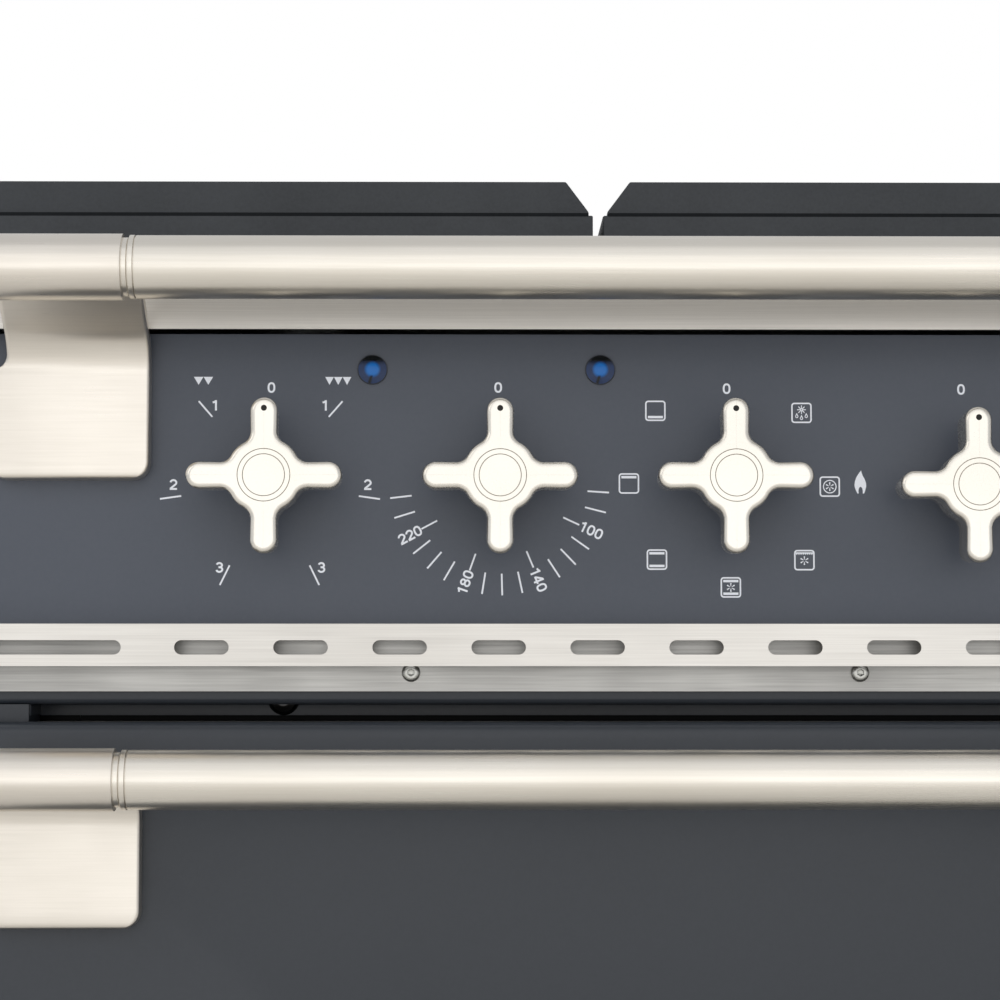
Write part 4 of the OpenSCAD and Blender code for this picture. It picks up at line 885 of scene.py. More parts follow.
@dataclass
class CrossKnobs:
    """Eight cross knobs of die-cast zinc with satin nickel plate.

    Attributes:
        bench: The frame.
        span: Distance over two opposite arms.
        arm_tip: Width of an arm at its tip.
        arm_root: Width of an arm at the hub.
        hub: Diameter of the hub.
        fillet: Radius of the hollow between arm and hub.
        rear: Height of the rear rim in front of the panel.
        face: Height of the face in front of the panel.
        edge: Radius of the front edges.
        taper: How much further in the sides lie at the rear rim.
        neck: Radius of the neck behind the knob.
        neck_start: Height where the neck starts.
        lines: Radii of the two engraved circles.
        index: Radius at which the index hole sits.
    """

    bench: Bench
    span: float = 62.3
    arm_tip: float = 11.3
    arm_root: float = 10.7
    hub: float = 31.2
    fillet: float = 5.0
    rear: float = 14.9
    face: float = 39.4
    edge: float = 2.3
    taper: float = 1.1
    neck: float = 11.0
    neck_start: float = 4.2
    lines: tuple[float, float] = (10.45, 8.35)
    index: float = 26.7

    def outline(self) -> Outline:
        """Draws the cross.

        One arm has two tip corners and an inner corner on each side, where it meets the hub
        circle at x = sqrt(r^2 - y^2). A softened corner halfway to the next arm keeps the hub
        round. The drawing repeats this at quarter turns.

        Returns:
            The outline.
        """
        tip, root = self.arm_tip / 2.0, self.arm_root / 2.0
        start = np.sqrt(self.hub**2 / 4.0 - root**2)
        between = self.hub / 2.0 * 1.02 / np.sqrt(2.0)
        arm = np.array([[start, -root], [self.span / 2.0, -tip], [self.span / 2.0, tip], [start, root],
                        [between, between]])
        turns = np.arange(4) * np.pi / 2.0
        spin = np.stack([np.stack([np.cos(turns), -np.sin(turns)], -1),
                         np.stack([np.sin(turns), np.cos(turns)], -1)], -2)
        corners = np.einsum("tij,pj->tpi", spin, arm).reshape(-1, 2)
        radii = np.tile([self.fillet, tip * 0.985, tip * 0.985, self.fillet, 12.0], 4)
        return Outline(corners, radii, 10)

    def body_shape(self, x: float, z: float) -> Shape:
        """Skins the knob from its neck over the arms to the middle of the face.

        The rings run up the neck, out along the rear, up the sides, round the front edge
        and in over the face. On the face the points slide along their own directions to a
        circle, dip into the two engraved lines and close at the middle.

        Args:
            x: Position of the axis.
            z: Height of the axis.

        Returns:
            The shape.
        """
        cross = self.outline()
        sides = cross.inset()
        parts = np.ceil(np.linalg.norm(np.roll(sides, -1, axis=0) - sides, axis=1) / 0.9).astype(int)
        rim = refined(cross.inset(self.edge), parts)
        angles = np.arctan2(rim[:, 1], rim[:, 0])
        insets, left = quarter(self.edge, 8)
        rear_in, rear_left = quarter(1.2, 3)
        rings = [circle(self.neck, angles)] * 2
        heights = [self.neck_start, self.rear]
        rings += [refined(cross.inset(float(a) + self.taper), parts) for a in rear_in[::-1]]
        heights += (self.rear + rear_left[::-1]).tolist()
        rings += [refined(cross.inset(float(a)), parts) for a in insets]
        heights += (self.face - left).tolist()
        rings.append(refined(cross.inset(self.edge + 0.3), parts))
        heights.append(self.face)
        for radius in self.lines:
            rings += [circle(radius + step, angles) for step in (0.16, 0.1, -0.1, -0.16)]
            heights += [self.face, self.face - 0.25, self.face - 0.25, self.face]
        return Shape().stack(rings, heights, Place(Facing.FRONT, (x, 0.0, z)))

    def build(self) -> None:
        """Builds each knob on its own body, with a dark disc of painted shade for its index hole and its
        engraved lines darkened with painted shade.
        """
        bodies = {"knob_grill": "grill_knob", "knob_thermostat": "thermostat_knob",
                  "knob_function": "function_knob",
                  **{f"knob_burner_{i}": f"burner_knob_{i}" for i in range(1, 6)}}
        for node, body in bodies.items():
            x, _, z = self.bench.middle(node)
            self.bench.finish(self.body_shape(x, z), f"{node}_casting", KNOB_NICKEL, body, node)
            # A dark disc just proud of the face: painted shade of the index hole.
            hole = np.array([[-0.4, 0.0], [-0.4, 1.2], [0.02, 1.2], [0.03, 1.1], [0.03, 0.0]])
            at = Place(Facing.FRONT, (x, 0.0, z + self.index))
            pit = Shape().lathe(hole + [self.face, 0.0], at, 24)
            self.bench.finish(pit, f"{node}_index", HOLE_SHADE, body, slot="knob_nickel")
            # Dark rings in the two engraved grooves: painted shade.
            rings = Shape()
            line = np.array([[-0.3, -0.1], [-0.3, 0.1], [-0.2, 0.1], [-0.2, -0.1], [-0.3, -0.1]])
            for radius in self.lines:
                rings.lathe(line + np.array([self.face, radius]), Place(Facing.FRONT, (x, 0.0, z)), 64)
            self.bench.finish(rings, f"{node}_lines", GROOVE_SHADE, body, slot="knob_nickel")


# ---------------------------------------------------------------- rail and handles


@dataclass(frozen=True)
class GripTube:
    """Tube of a rail or handle between two sleeves, with a turned ferrule at each end.

    Attributes:
        radius: Radius of the tube.
        inner: Distance from the middle to a sleeve's inner end.
        outer: Distance from the middle to a sleeve's outer end.
        depth: Depth of the axis.
        height: Height of the axis.
    """

    radius: float
    inner: float
    outer: float
    depth: float
    height: float

    def axis(self) -> Place:
        """Place whose heights run along the tube."""
        return Place(Facing.SIDE, (0.0, self.depth, self.height))

    def tube(self, shape: Shape) -> Shape:
        """Turns the tube: plain length, groove, thin ring, groove and the neck in the sleeve.

        Args:
            shape: Shape to add to.

        Returns:
            The shape.
        """
        r, end = self.radius, self.inner
        half = np.array([[0.0, r], [end - 5.1, r], [end - 5.05, r - 0.8], [end - 4.7, r - 0.8],
                         [end - 4.65, r + 0.1], [end - 2.65, r + 0.1], [end - 2.6, r - 1.5],
                         [end - 2.15, r - 1.5], [end - 2.1, r - 0.9], [end + 0.5, r - 0.9],
                         [end + 1.0, r - 3.0]])
        half = softened(half, 0.22, 3)
        profile = np.vstack([(half * [-1.0, 1.0])[::-1], half[1:]])
        return shape.lathe(profile, self.axis(), 72)

    def sleeve(self, shape: Shape, side: float) -> Shape:
        """Turns one sleeve with softened lips and a domed outer end.

        Args:
            shape: Shape to add to.
            side: 1 for the right end, -1 for the left.

        Returns:
            The shape.
        """
        r = self.radius + 0.6
        profile = softened([[self.inner + 1.5, r - 2.2], [self.inner, r - 2.0], [self.inner, r],
                            [self.outer - 3.0, r], [self.outer - 0.9, r - 1.2],
                            [self.outer, r - 4.0], [self.outer, 0.0]], 0.45, 4)
        return shape.lathe(profile * [side, 1.0], self.axis(), 72)


@dataclass(frozen=True)
class CastBracket:
    """Bracket that starts as a plate on a panel and bends forward into a sleeve.

    Attributes:
        face: Depth of the panel that carries it.
        low: Height of the plate's lower edge.
        bend: Height at which the plate starts to bend.
        thick: Thickness of the plate.
        inner: x of the side towards the middle.
        outer: x of the other side.
        neck: Width of the neck.
        end: Depth at which its surfaces meet the sleeve.
        rear_r: Radius of the bend at the rear.
        front_r: Radius of the bend at the front.
        slope: Slope of the neck in degrees.
        corner: Radius of the plate's lower corners.
        edge: Radius of the long edges.
        crest: Radius of the outer side's edge where the neck begins.
        hollow: Radius of the hollow beside the neck.
    """

    face: float
    low: float
    bend: float
    thick: float
    inner: float
    outer: float
    neck: float
    end: float
    rear_r: float
    front_r: float = 22.0
    slope: float = 36.0
    corner: float = 7.0
    edge: float = 1.8
    crest: float = 3.0
    hollow: float = 6.0

    def side(self, depth: float, radius: float, steps: int = 14) -> Array:
        """Draws one surface of the bend and the neck as seen from the side.

        The arc starts upright at the bend, turns by 90 degrees less the slope about a
        centre in front of the surface, and runs on straight.

        Args:
            depth: Depth of the surface on the plate.
            radius: Radius of its bend.
            steps: Segments in the arc.

        Returns:
            Depths and heights from the bend to the sleeve.
        """
        turn = np.linspace(0.0, np.radians(90.0 - self.slope), steps + 1)
        arc = np.array([depth - radius, self.bend]) + circle(radius, turn)
        run = np.linspace(0.0, 1.0, 11)[1:] * (arc[-1, 0] - self.end)
        rise = run * np.tan(np.radians(self.slope))
        return np.vstack([arc, arc[-1] + np.stack([-run, rise], axis=1)])

    def rows(self) -> Array:
        """Works out the cross sections from the lower edge to the sleeve.

        Both surfaces run straight up and then round the bend to the sleeve. Near the
        lower edge the section narrows along the corner arcs and thins along the edge
        radius. Each section is a rectangle with small corner arcs.

        Returns:
            Points, shape (rows, points, 3), for the right side.
        """
        plate = self.face - self.thick
        rise = np.concatenate([quarter(self.edge)[0], np.linspace(self.edge, self.corner, 6)[1:],
                               np.linspace(self.corner, self.bend - self.low, 8)[1:]])
        upper = self.side(plate, self.front_r)
        travel = np.concatenate([rise[:-1], np.full(len(upper), 99.0)])
        shrink = set_back(self.edge, travel)
        straight = np.stack([np.full(len(rise) - 1, plate), self.low + rise[:-1]], axis=1)
        front = np.vstack([straight, upper]) + np.stack([shrink, 0.0 * shrink], axis=1)
        rear = np.vstack([straight * [0.0, 1.0] + [self.face, 0.0], self.side(self.face, self.rear_r)])
        round_in = set_back(self.corner, travel)
        step = self.outer - self.inner - self.neck
        above = front[:, 1] - (self.bend + self.crest)
        beside = np.where(above > 0.0, step - set_back(self.hollow, above), set_back(self.crest, -above))
        outer = self.outer - beside - round_in
        inner = self.inner + round_in
        return np.stack([self.section(*values) for values in zip(inner, outer, front, rear)])

    def section(self, inner: float, outer: float, front: Array, rear: Array) -> Array:
        """Draws one section between a front and a rear point.

        Args:
            inner: x of one side.
            outer: x of the other side.
            front: Depth and height of the front surface.
            rear: Depth and height of the rear surface.

        Returns:
            Points with x, depth and z.
        """
        thick = max(float(np.linalg.norm(rear - front)), 0.05)
        radius = min(self.edge, thick * 0.45, (outer - inner) * 0.45)
        drawing = box_outline((inner, 0.0), (outer, thick), radius, 5).inset()
        across = front + (rear - front) * (drawing[:, 1, None] / thick)
        return np.column_stack([drawing[:, 0], across])

    def add(self, shape: Shape, side: float) -> Shape:
        """Adds the bracket on one side.

        Args:
            shape: Shape to add to.
            side: 1 for the right, -1 for the left.

        Returns:
            The shape.
        """
        return shape.skin(self.rows() * [side, 1.0, 1.0])


@dataclass
class RailAndHandles:
    """Towel rail, door handle and drawer handle with their cast brackets.

    Attributes:
        bench: The frame.
        sleeve_start: Distance from the middle to a sleeve's inner end.
        thick: Thickness of a bracket's plate.
        neck: Width of a bracket's neck.
    """

    bench: Bench
    sleeve_start: float = 387.6
    thick: float = 9.0
    neck: float = 58.5

    @staticmethod
    def cast(bracket: CastBracket, grip: GripTube) -> Shape:
        """Puts a bracket and a sleeve on both sides into one shape."""
        shape = Shape()
        for side in (1.0, -1.0):
            bracket.add(shape, side)
            grip.sleeve(shape, side)
        return shape

    def build(self) -> None:
        """Builds the rail on the cooker and the handles on the door and the drawer."""
        middle, plate = self.bench.middle("rail_tube"), self.bench.low("rail_brackets")[2]
        outer = self.bench.high("rail_brackets")[0]
        rail = GripTube(12.5, self.sleeve_start, outer, middle[1], middle[2])
        bracket = CastBracket(0.0, plate - 1.1, plate + 41.0, self.thick, outer - 65.5, outer, self.neck,
                              rail.depth + 6.0, 22.0)
        self.bench.finish(rail.tube(Shape()), "rail_tube_turned", TUBE_NICKEL, ROOT, "rail_tube")
        self.bench.finish(self.cast(bracket, rail), "rail_brackets_cast", CAST_NICKEL, ROOT,
                          "rail_brackets")
        self.handle("door_handle", "door", "door_handle_tube", "door_handle_brackets",
                    self.bench.middle("door_handle_tube")[2])
        high = self.bench.high("drawer_handle")[2]
        self.handle("drawer_handle", "drawer", "drawer_handle", "drawer_handle", high - 12.1)

    def handle(self, name: str, body: str, tube: str, brackets: str, z: float) -> None:
        """Builds one handle on its panel.

        Args:
            name: Start of the pieces' names.
            body: Body of the door or drawer.
            tube: Node that the tube stands for.
            brackets: Node that the brackets stand for, if it is another one.
            z: Height of the axis.
        """
        front, outer = self.bench.low(brackets), self.bench.high(brackets)[0]
        grip = GripTube(11.5, self.sleeve_start, outer, front[1] + 12.1, z)
        bracket = CastBracket(-18.0, front[2], z - 20.0, self.thick, outer - 64.5, outer - 2.0, self.neck,
                              grip.depth + 6.0, 12.5, 14.0, 26.0)
        self.bench.finish(grip.tube(Shape()), f"{name}_turned", TUBE_NICKEL, body, tube)
        replaced = () if tube == brackets else (brackets,)
        self.bench.finish(self.cast(bracket, grip), f"{name}_cast", CAST_NICKEL, body, *replaced,
                          slot=self.bench.slots[brackets])


# ---------------------------------------------------------------- lamps, screws and buffers


@dataclass
class SmallFittings:
    """Indicator lamps, socket screws, rubber buffers and plugs, and the strips of the front.

    Attributes:
        bench: The frame.
        lens: Diameter of a lens.
        core: Diameter of the lit core.
    """

    bench: Bench
    lens: float = 12.2
    core: float = 6.3

    def solids(self, node: str) -> list[Array]:
        """Finds the boxes of a node's separate solids along x.

        Args:
            node: CAD node with solids side by side.

        Returns:
            Lowest and highest corner of each solid, from left to right.
        """
        points = self.bench.points(node)
        points = points[np.argsort(points[:, 0])]
        groups = np.split(points, np.flatnonzero(np.diff(points[:, 0]) > 20.0) + 1)
        return [np.stack([g.min(axis=0), g.max(axis=0)]) for g in groups]

    def lamps(self) -> None:
        """Builds the two lenses: a dark rim, a sloping ring and a domed core.

        The lens height over its radius r is a flat ring with a dome on it. Two attributes
        colour it: lit is 1 inside the core, whose painted glow stands for the lamp, and dark
        is 1 in the crescent of painted shade under the upper rim and in the wedge from the
        core to the lower rim.
        """
        lenses, rims = Shape(), Shape()
        centres = [box.mean(axis=0) for box in self.solids("indicator_lamps")]
        r, c = self.lens / 2.0, self.core / 2.0
        radii = np.concatenate([np.linspace(r - 0.3, c, 24), np.linspace(c, 0.0, 10)[1:]])
        heights = 0.9 + 0.7 * np.cos(np.clip(radii / r, 0.0, 1.0) * np.pi / 2.0)
        heights += np.where(radii <= c, 0.25 * (1.0 - (radii / c) ** 2), 0.0)
        profile = np.column_stack([heights, radii])
        ring = softened([[0.0, r - 0.3], [0.0, r], [0.85, r], [1.0, r - 0.2], [0.85, r - 0.45],
                         [0.3, r - 0.5]], 0.15, 3)
        for centre in centres:
            place = Place(Facing.FRONT, (centre[0], 0.0, centre[2]))
            lenses.lathe(np.vstack([[[0.1, r - 0.3]], profile]), place, 96)
            rims.lathe(ring, place, 64)
        piece = self.bench.finish(lenses, "indicator_lenses", LENS_BLUE, ROOT, "indicator_lamps",
                                  angle=60.0)
        points = coordinates(piece.data)
        axes = np.array(centres)[:, [0, 2]]
        nearest = np.argmin(np.abs(points[:, :1] - axes[:, 0]), axis=1)
        local = points[:, [0, 2]] - axes[nearest]
        radius = np.linalg.norm(local, axis=1)
        # Painted glow inside the core and painted shade in the crescent under the upper rim.
        lit = np.clip((c + 0.4 - radius) / 1.3, 0.0, 1.0)
        crescent = np.clip((local[:, 1] - 1.6) / 2.4, 0.0, 1.0) * np.clip((radius - 3.0) / 0.8, 0.0, 1.0)
        wedge = np.clip((0.9 - np.abs(local[:, 0] + 0.5 - 0.3 * (local[:, 1] + 3.0))) / 0.6, 0.0, 1.0)
        wedge *= np.clip((-2.2 - local[:, 1]) / 0.8, 0.0, 1.0)
        for name, values in (("lit", lit), ("dark", np.maximum(crescent, wedge))):
            attribute = piece.data.attributes.new(name, "FLOAT", "POINT")
            attribute.data.foreach_set("value", values.astype(np.float32))
        self.bench.finish(rims, "indicator_rims", BEZEL, ROOT, slot="lens_blue", angle=50.0)

    def screws(self) -> None:
        """Builds button heads with a hexagon socket.

        The head is a dome down to the panel. Inside, the circle of points changes to a
        hexagon of radius a / cos(angle to the nearest flat) and runs down into the socket.
        """
        shape = Shape()
        angles = np.linspace(0.0, 2.0 * np.pi, 48, endpoint=False)
        hexagon = 1.25 / np.cos((angles + np.pi / 6.0) % (np.pi / 3.0) - np.pi / 6.0)
        head, height = 3.8, 2.15
        dome = np.linspace(0.0, 1.0, 7)
        heights = 0.35 + (height - 0.35) * np.sin(dome * np.pi / 2.0)
        radii = head - (head - 2.1) * (1.0 - np.cos(dome * np.pi / 2.0))
        for box in self.solids("outlet_screws"):
            centre = box.mean(axis=0)
            rings = [circle(r, angles) for r in (head - 0.1, head, *radii)]
            rings += [hexagon[:, None] * circle(s, angles) for s in (1.12, 1.0, 0.98, 0.6)]
            levels = [0.0, 0.1, *heights, height, height - 0.12, 0.7, 0.55]
            shape.stack(rings, levels, Place(Facing.FRONT, (centre[0], 0.0, centre[2])))
        self.bench.finish(shape, "outlet_screw_heads", ZINC, ROOT, "outlet_screws", angle=28.0)

    def buffers(self) -> None:
        """Turns the two glossy rubber buffers as low domes."""
        shape = Shape()
        profile = softened([[0.0, 6.0], [1.6, 6.0], [2.8, 5.0], [3.4, 3.0], [3.55, 0.0]], 1.0, 5)
        for box in self.solids("door_buffers"):
            centre = box.mean(axis=0)
            shape.lathe(profile, Place(Facing.FRONT, (centre[0], box[1][1], centre[2])), 48)
        self.bench.finish(shape, "door_buffers_moulded", RUBBER, ROOT, "door_buffers", angle=60.0)

    def strip(self, name: str, low: Sequence[float], high: Sequence[float], finish: Finish,
              node: str) -> None:
        """Adds a flat strip to the node that carries it.

        Args:
            name: Name of the piece.
            low: Smallest x, depth and z.
            high: Largest x, depth and z.
            finish: Surface of the strip.
            node: CAD node that gives the body and the slot.
        """
        shape = Shape().solid(box_outline((low[0], low[2]), (high[0], high[2]), 0.3, 3), -high[1], -low[1],
                              Place(Facing.FRONT), 0.1)
        self.bench.finish(shape, name, finish, self.bench.nodes[node]["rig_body"],
                          slot=self.bench.slots[node])

    def strips(self) -> None:
        """Adds the front frame's slate lip, cheeks and plugs, and strips of painted shade along the pan
        supports' steps.
        """
        rail = self.bench.high("cross_rail")[0] - 0.4
        base = self.bench.low("cross_rail")[2]
        face = self.bench.low("front_frame")[1]
        self.strip("front_frame_lip", (-rail, face - 0.9, base - 4.6), (rail, face - 0.05, base - 0.1),
                   SHADED_BODY_ENAMEL, "front_frame")
        for side, sign in (("left", -1.0), ("right", 1.0)):
            near, far = sorted((sign * (rail + 0.35), sign * (rail - 0.15)))
            self.strip(f"front_frame_cheek_{side}", (near, 3.0, base - 4.6), (far, face - 0.9, base - 0.1),
                       SHADED_BODY_ENAMEL, "front_frame")
        dome = Shape()
        profile = softened([[0.0, 6.7], [1.2, 6.7], [3.1, 5.2], [4.3, 2.9], [4.5, 0.0]], 1.2, 5)
        for box in self.solids("door_buffers"):
            x = box.mean(axis=0)[0]
            place = Place(Facing.FRONT, (x + 3.8 * np.sign(x), face, base + 2.1))
            dome.lathe(profile, place, 48)
        self.bench.finish(dome, "front_frame_plugs", RUBBER, ROOT, slot=self.bench.slots["door_buffers"],
                          angle=60.0)
        # Painted shade: a dark strip along the step of each pan support.
        for node in ("pan_support_left", "pan_support_centre", "pan_support_right"):
            low, high = self.bench.low(node), self.bench.high(node)
            step = high[2] - 14.8
            self.strip(f"{node}_crease", (low[0] + 1.9, low[1] + 0.02, step - 0.8),
                       (high[0] - 1.9, low[1] + 1.75, step + 1.1), STEP_SHADE, node)

    def build(self) -> None:
        """Builds the lamps, screws, buffers and strips."""
        self.lamps()
        self.screws()
        self.buffers()
        self.strips()


# ---------------------------------------------------------------- printed marks


@dataclass
class PanelMarks:
    """White marks printed on the control panel.

    Positions are millimetres from a knob's axis, to the right and up.

    Attributes:
        bench: The frame.
        stroke: Width of a line.
        bold: Width of a digit's strokes.
        pitch: Distance between the middles of two digits.
        ink: Thickness of the ink.
        shape: The marks drawn so far.
        drawn: How many lines they have. Each is a little thicker than the one it crosses.
    """

    bench: Bench
    stroke: float = 0.7
    bold: float = 0.8
    pitch: float = 3.5
    ink: float = 0.06
    shape: Shape = field(default_factory=Shape)
    drawn: int = 0

    def line(self, points: Iterable[Sequence[float]], width: float | None = None,
             closed: bool = False) -> None:
        """Draws a line of even width.

        Each point moves half the width to either side along the mitre of the sides that
        meet there.

        Args:
            points: Points of the line.
            width: Width, the usual stroke if not given.
            closed: Joins the end to the start.
        """
        p = np.asarray(list(points), float)
        half = (width or self.stroke) / 2.0
        ahead = unit(np.roll(p, -1, axis=0) - p)
        behind = np.roll(ahead, 1, axis=0)
        if not closed:
            ahead[-1], behind[0] = behind[-1], ahead[0]
        n1 = np.stack([-behind[:, 1], behind[:, 0]], axis=1)
        n2 = np.stack([-ahead[:, 1], ahead[:, 0]], axis=1)
        mitre = (n1 + n2) / np.maximum(1.0 + np.sum(n1 * n2, axis=1, keepdims=True), 0.3)
        left, right = p + mitre * half, p - mitre * half
        place = Place(Facing.FRONT)
        self.drawn += 1
        top = self.ink + 0.004 * (self.drawn % 5)
        rows = np.stack([place.put(left, 0.0), place.put(left, top), place.put(right, top),
                         place.put(right, 0.0)], axis=1)
        if closed:
            rows = np.concatenate([rows, rows[:1]])
        self.shape.skin(rows, not closed, not closed)

    def patch(self, points: Iterable[Sequence[float]]) -> None:
        """Fills a closed drawing with ink."""
        p = np.asarray(list(points), float)
        self.shape.stack([p, p], [0.0, self.ink], Place(Facing.FRONT))

    def text(self, words: str, at: Sequence[float], turn: float = 0.0) -> None:
        """Sets digits centred on a point.

        Args:
            words: Digits to set.
            at: Middle of the word.
            turn: Angle in degrees, counter-clockwise.
        """
        angle = np.radians(turn)
        spin = np.array([[np.cos(angle), np.sin(angle)], [-np.sin(angle), np.cos(angle)]])
        for place, digit in enumerate(words):
            aside = np.array([(place - (len(words) - 1) / 2.0) * self.pitch, 0.0])
            for stroke, closed in self.strokes(digit):
                self.line((np.asarray(stroke) + aside) @ spin + np.asarray(at), self.bold, closed)

    @staticmethod
    def strokes(digit: str) -> list[tuple[Array, bool]]:
        """Gives the middle lines of a digit about its centre.

        Args:
            digit: One of 0, 1, 2, 3, 4 and 8.

        Returns:
            Each line and whether it is closed.
        """
        def arc(x: float, z: float, rx: float, rz: float, start: float, end: float) -> Array:
            """Points on part of an ellipse, by angles in degrees from 3 o'clock."""
            return np.array([x, z]) + circle(1.0, np.radians(np.linspace(start, end, 15))) * [rx, rz]

        ring = circle(1.0, np.linspace(0.0, 2.0 * np.pi, 28, endpoint=False))
        squarer = np.sign(ring) * np.abs(ring) ** 0.82
        return {
            "0": [(squarer * [1.2, 1.8], True)],
            "1": [(np.array([[0.42, -2.15], [0.42, 2.15]]), False),
                  (np.array([[0.25, 1.75], [-0.25, 1.35], [-0.95, 1.2]]), False)],
            "2": [(np.vstack([arc(0.0, 0.75, 1.2, 1.06, 172.0, -38.0), [[-1.15, -1.62]]]), False),
                  (np.array([[-1.5, -1.82], [1.5, -1.82]]), False)],
            "3": [(np.vstack([arc(0.0, 0.92, 1.08, 0.9, 165.0, -80.0)]), False),
                  (np.vstack([arc(0.0, -0.82, 1.22, 1.0, 80.0, -168.0)]), False),
                  (np.array([[-0.35, 0.1], [0.35, 0.1]]), False)],
            "4": [(np.array([[0.55, -2.15], [0.55, 2.15]]), False),
                  (np.array([[0.4, 1.9], [-1.35, -0.8]]), False),
                  (np.array([[-1.6, -0.88], [1.55, -0.88]]), False)],
            "8": [(ring * [1.02, 0.86] + [0.0, 0.95], True), (ring * [1.2, 1.0] + [0.0, -0.82], True)],
        }[digit]

    @staticmethod
    def polar(angle: float, radius: float) -> Array:
        """Point at a clockwise angle from 12 o'clock and a distance, in degrees and millimetres."""
        return radius * np.array([np.sin(np.radians(angle)), np.cos(np.radians(angle))])

    def tick(self, origin: Array, angle: float, near: float, far: float) -> None:
        """Draws a radial tick."""
        self.line([origin + self.polar(angle, near), origin + self.polar(angle, far)])

    def grill_scale(self, origin: Array) -> None:
        """Marks of the grill regulator: three steps each way and rows of triangles."""
        self.text("0", origin + [0.0, 39.3])
        for angle, near, far in ((41.0, 36.5, 45.1), (98.0, 36.8, 45.6), (154.0, 37.4, 46.4)):
            for side in (1.0, -1.0):
                self.tick(origin + [-0.3, -0.4], side * angle, near, far)
        for word, x, z in (("1", -23.2, 31.9), ("1", 22.0, 31.9), ("2", -40.0, -0.8), ("2", 39.8, -0.8),
                           ("3", -20.9, -34.9), ("3", 20.9, -34.9)):
            self.text(word, origin + [x, z])
        for centre, count, pitch in ((-28.0, 2, 4.0), (27.5, 3, 3.6)):
            for i in range(count):
                x = centre + (i - (count - 1) / 2.0) * pitch
                half = pitch * 0.49
                self.patch(origin + np.array([[x - half, 43.7], [x, 40.4], [x + half, 43.7]]))

    def heat_scale(self, origin: Array) -> None:
        """Marks of the thermostat: seventeen ticks, four of them with their temperature."""
        self.text("0", origin + [-0.5, 39.4])
        middle = origin + [0.0, -1.1]
        labels = {2: ("100", 1.0), 6: ("140", 0.4), 10: ("180", 0.9), 14: ("220", 1.0)}
        for i in range(17):
            angle = 93.7 + 10.6 * i
            if i not in labels:
                self.tick(middle, angle, 36.3, 45.2)
                continue
            word, drop = labels[i]
            lowered = middle - [0.0, drop]
            self.tick(lowered, angle, 28.9, 36.2)
            turn = 90.0 - angle if angle < 180.0 else -90.0 - angle
            self.text(word, lowered + self.polar(angle, 41.5), turn)

    def fan(self, centre: Array, size: float = 1.8) -> None:
        """Draws a fan wheel as six blades that widen outwards round an open hub."""
        for angle in range(0, 360, 60):
            self.patch([centre + self.polar(angle + turn, r)
                        for turn, r in ((-12.0, 0.42), (-9.5, size), (9.5, size), (12.0, 0.42))])

    def function_scale(self, origin: Array) -> None:
        """Marks of the function switch: seven rounded squares with their heat symbols."""
        self.text("0", origin + [-0.15, 39.0])
        frame = box_outline((-3.92, -3.92), (3.92, 3.92), 1.0, 4).inset()
        places = {"thaw": (30.7, 29.0), "fan": (42.1, -1.5), "grill": (31.4, -31.8),
                  "both": (1.1, -43.0), "oven": (-29.2, -31.6), "top": (-40.6, -0.25),
                  "base": (-29.6, 29.8)}
        for kind, at in places.items():
            centre = origin + np.array(at)
            self.line(centre + frame, 0.62, True)
            bars = ((2.6, ("both", "oven", "top")), (-2.6, ("both", "oven", "base")))
            for z in (height for height, kinds in bars if kind in kinds):
                self.line([centre + [-3.1, z], centre + [3.1, z]], 1.0)
            if kind in ("both", "grill", "fan"):
                self.fan(centre + [0.0, -0.2 if kind == "grill" else 0.0])
            if kind == "fan":
                ring = circle(2.6, np.linspace(0.0, 2.0 * np.pi, 32, endpoint=False))
                self.line(centre + ring, 0.42, True)
            if kind == "grill":
                self.line([centre + [-3.6, 2.95], centre + [3.6, 2.95]], 0.5)
                for x in np.linspace(-3.1, 3.1, 8):
                    self.patch([centre + [x - 0.36, 2.72], centre + [x, 2.05], centre + [x + 0.36, 2.72]])
            if kind == "thaw":
                star = centre + [0.0, 1.3]
                for angle in range(0, 360, 45):
                    self.line([star + self.polar(angle, 0.25), star + self.polar(angle, 1.8)], 0.36)
                for x, z in ((-1.95, -1.5), (0.0, -2.3), (1.95, -1.5)):
                    drop = circle(0.5, np.radians([30, -10, -50, -90, -130, -170, -210]))
                    self.line(centre + [x, z] + np.vstack([drop, [[0.0, 1.15]]]), 0.32, True)

    def flame(self, origin: Array) -> None:
        """Draws a flame: a pointed drop with a notch at its foot.

        Args:
            origin: Middle of the flame.
        """
        sides = [[0.36, 4.8], [0.55, 3.9], [1.05, 2.6], [1.75, 1.3], [2.3, -0.2], [2.45, -1.6],
                 [2.1, -3.1], [1.55, -4.75], [0.95, -4.75], [1.0, -3.6], [0.7, -2.4], [0.02, -1.85],
                 [-0.6, -2.5], [-0.8, -3.7], [-0.75, -4.8], [-1.2, -4.75], [-2.0, -3.1], [-2.45, -1.4],
                 [-2.2, 0.4], [-1.5, 2.2], [-0.5, 3.7], [0.36, 4.8]]
        self.patch(origin + softened(sides, 2.0, 4)[:-1])

    def build(self) -> None:
        """Draws all marks and writes them as one printed piece."""
        axis = {node: self.bench.middle(node)[[0, 2]] for node in
                ("knob_grill", "knob_thermostat", "knob_function",
                 *(f"knob_burner_{i}" for i in range(1, 6)))}
        self.grill_scale(axis["knob_grill"])
        self.heat_scale(axis["knob_thermostat"])
        self.function_scale(axis["knob_function"])
        for i in range(1, 6):
            origin = axis[f"knob_burner_{i}"]
            self.text("0", origin + [0.0, 42.3])
            self.flame(origin + [-42.0, 3.9])
        piece = self.bench.finish(self.shape, "panel_marks", INK, ROOT, slot="panel_enamel")
        piece.data.shade_flat()


# ---------------------------------------------------------------- door and drawer


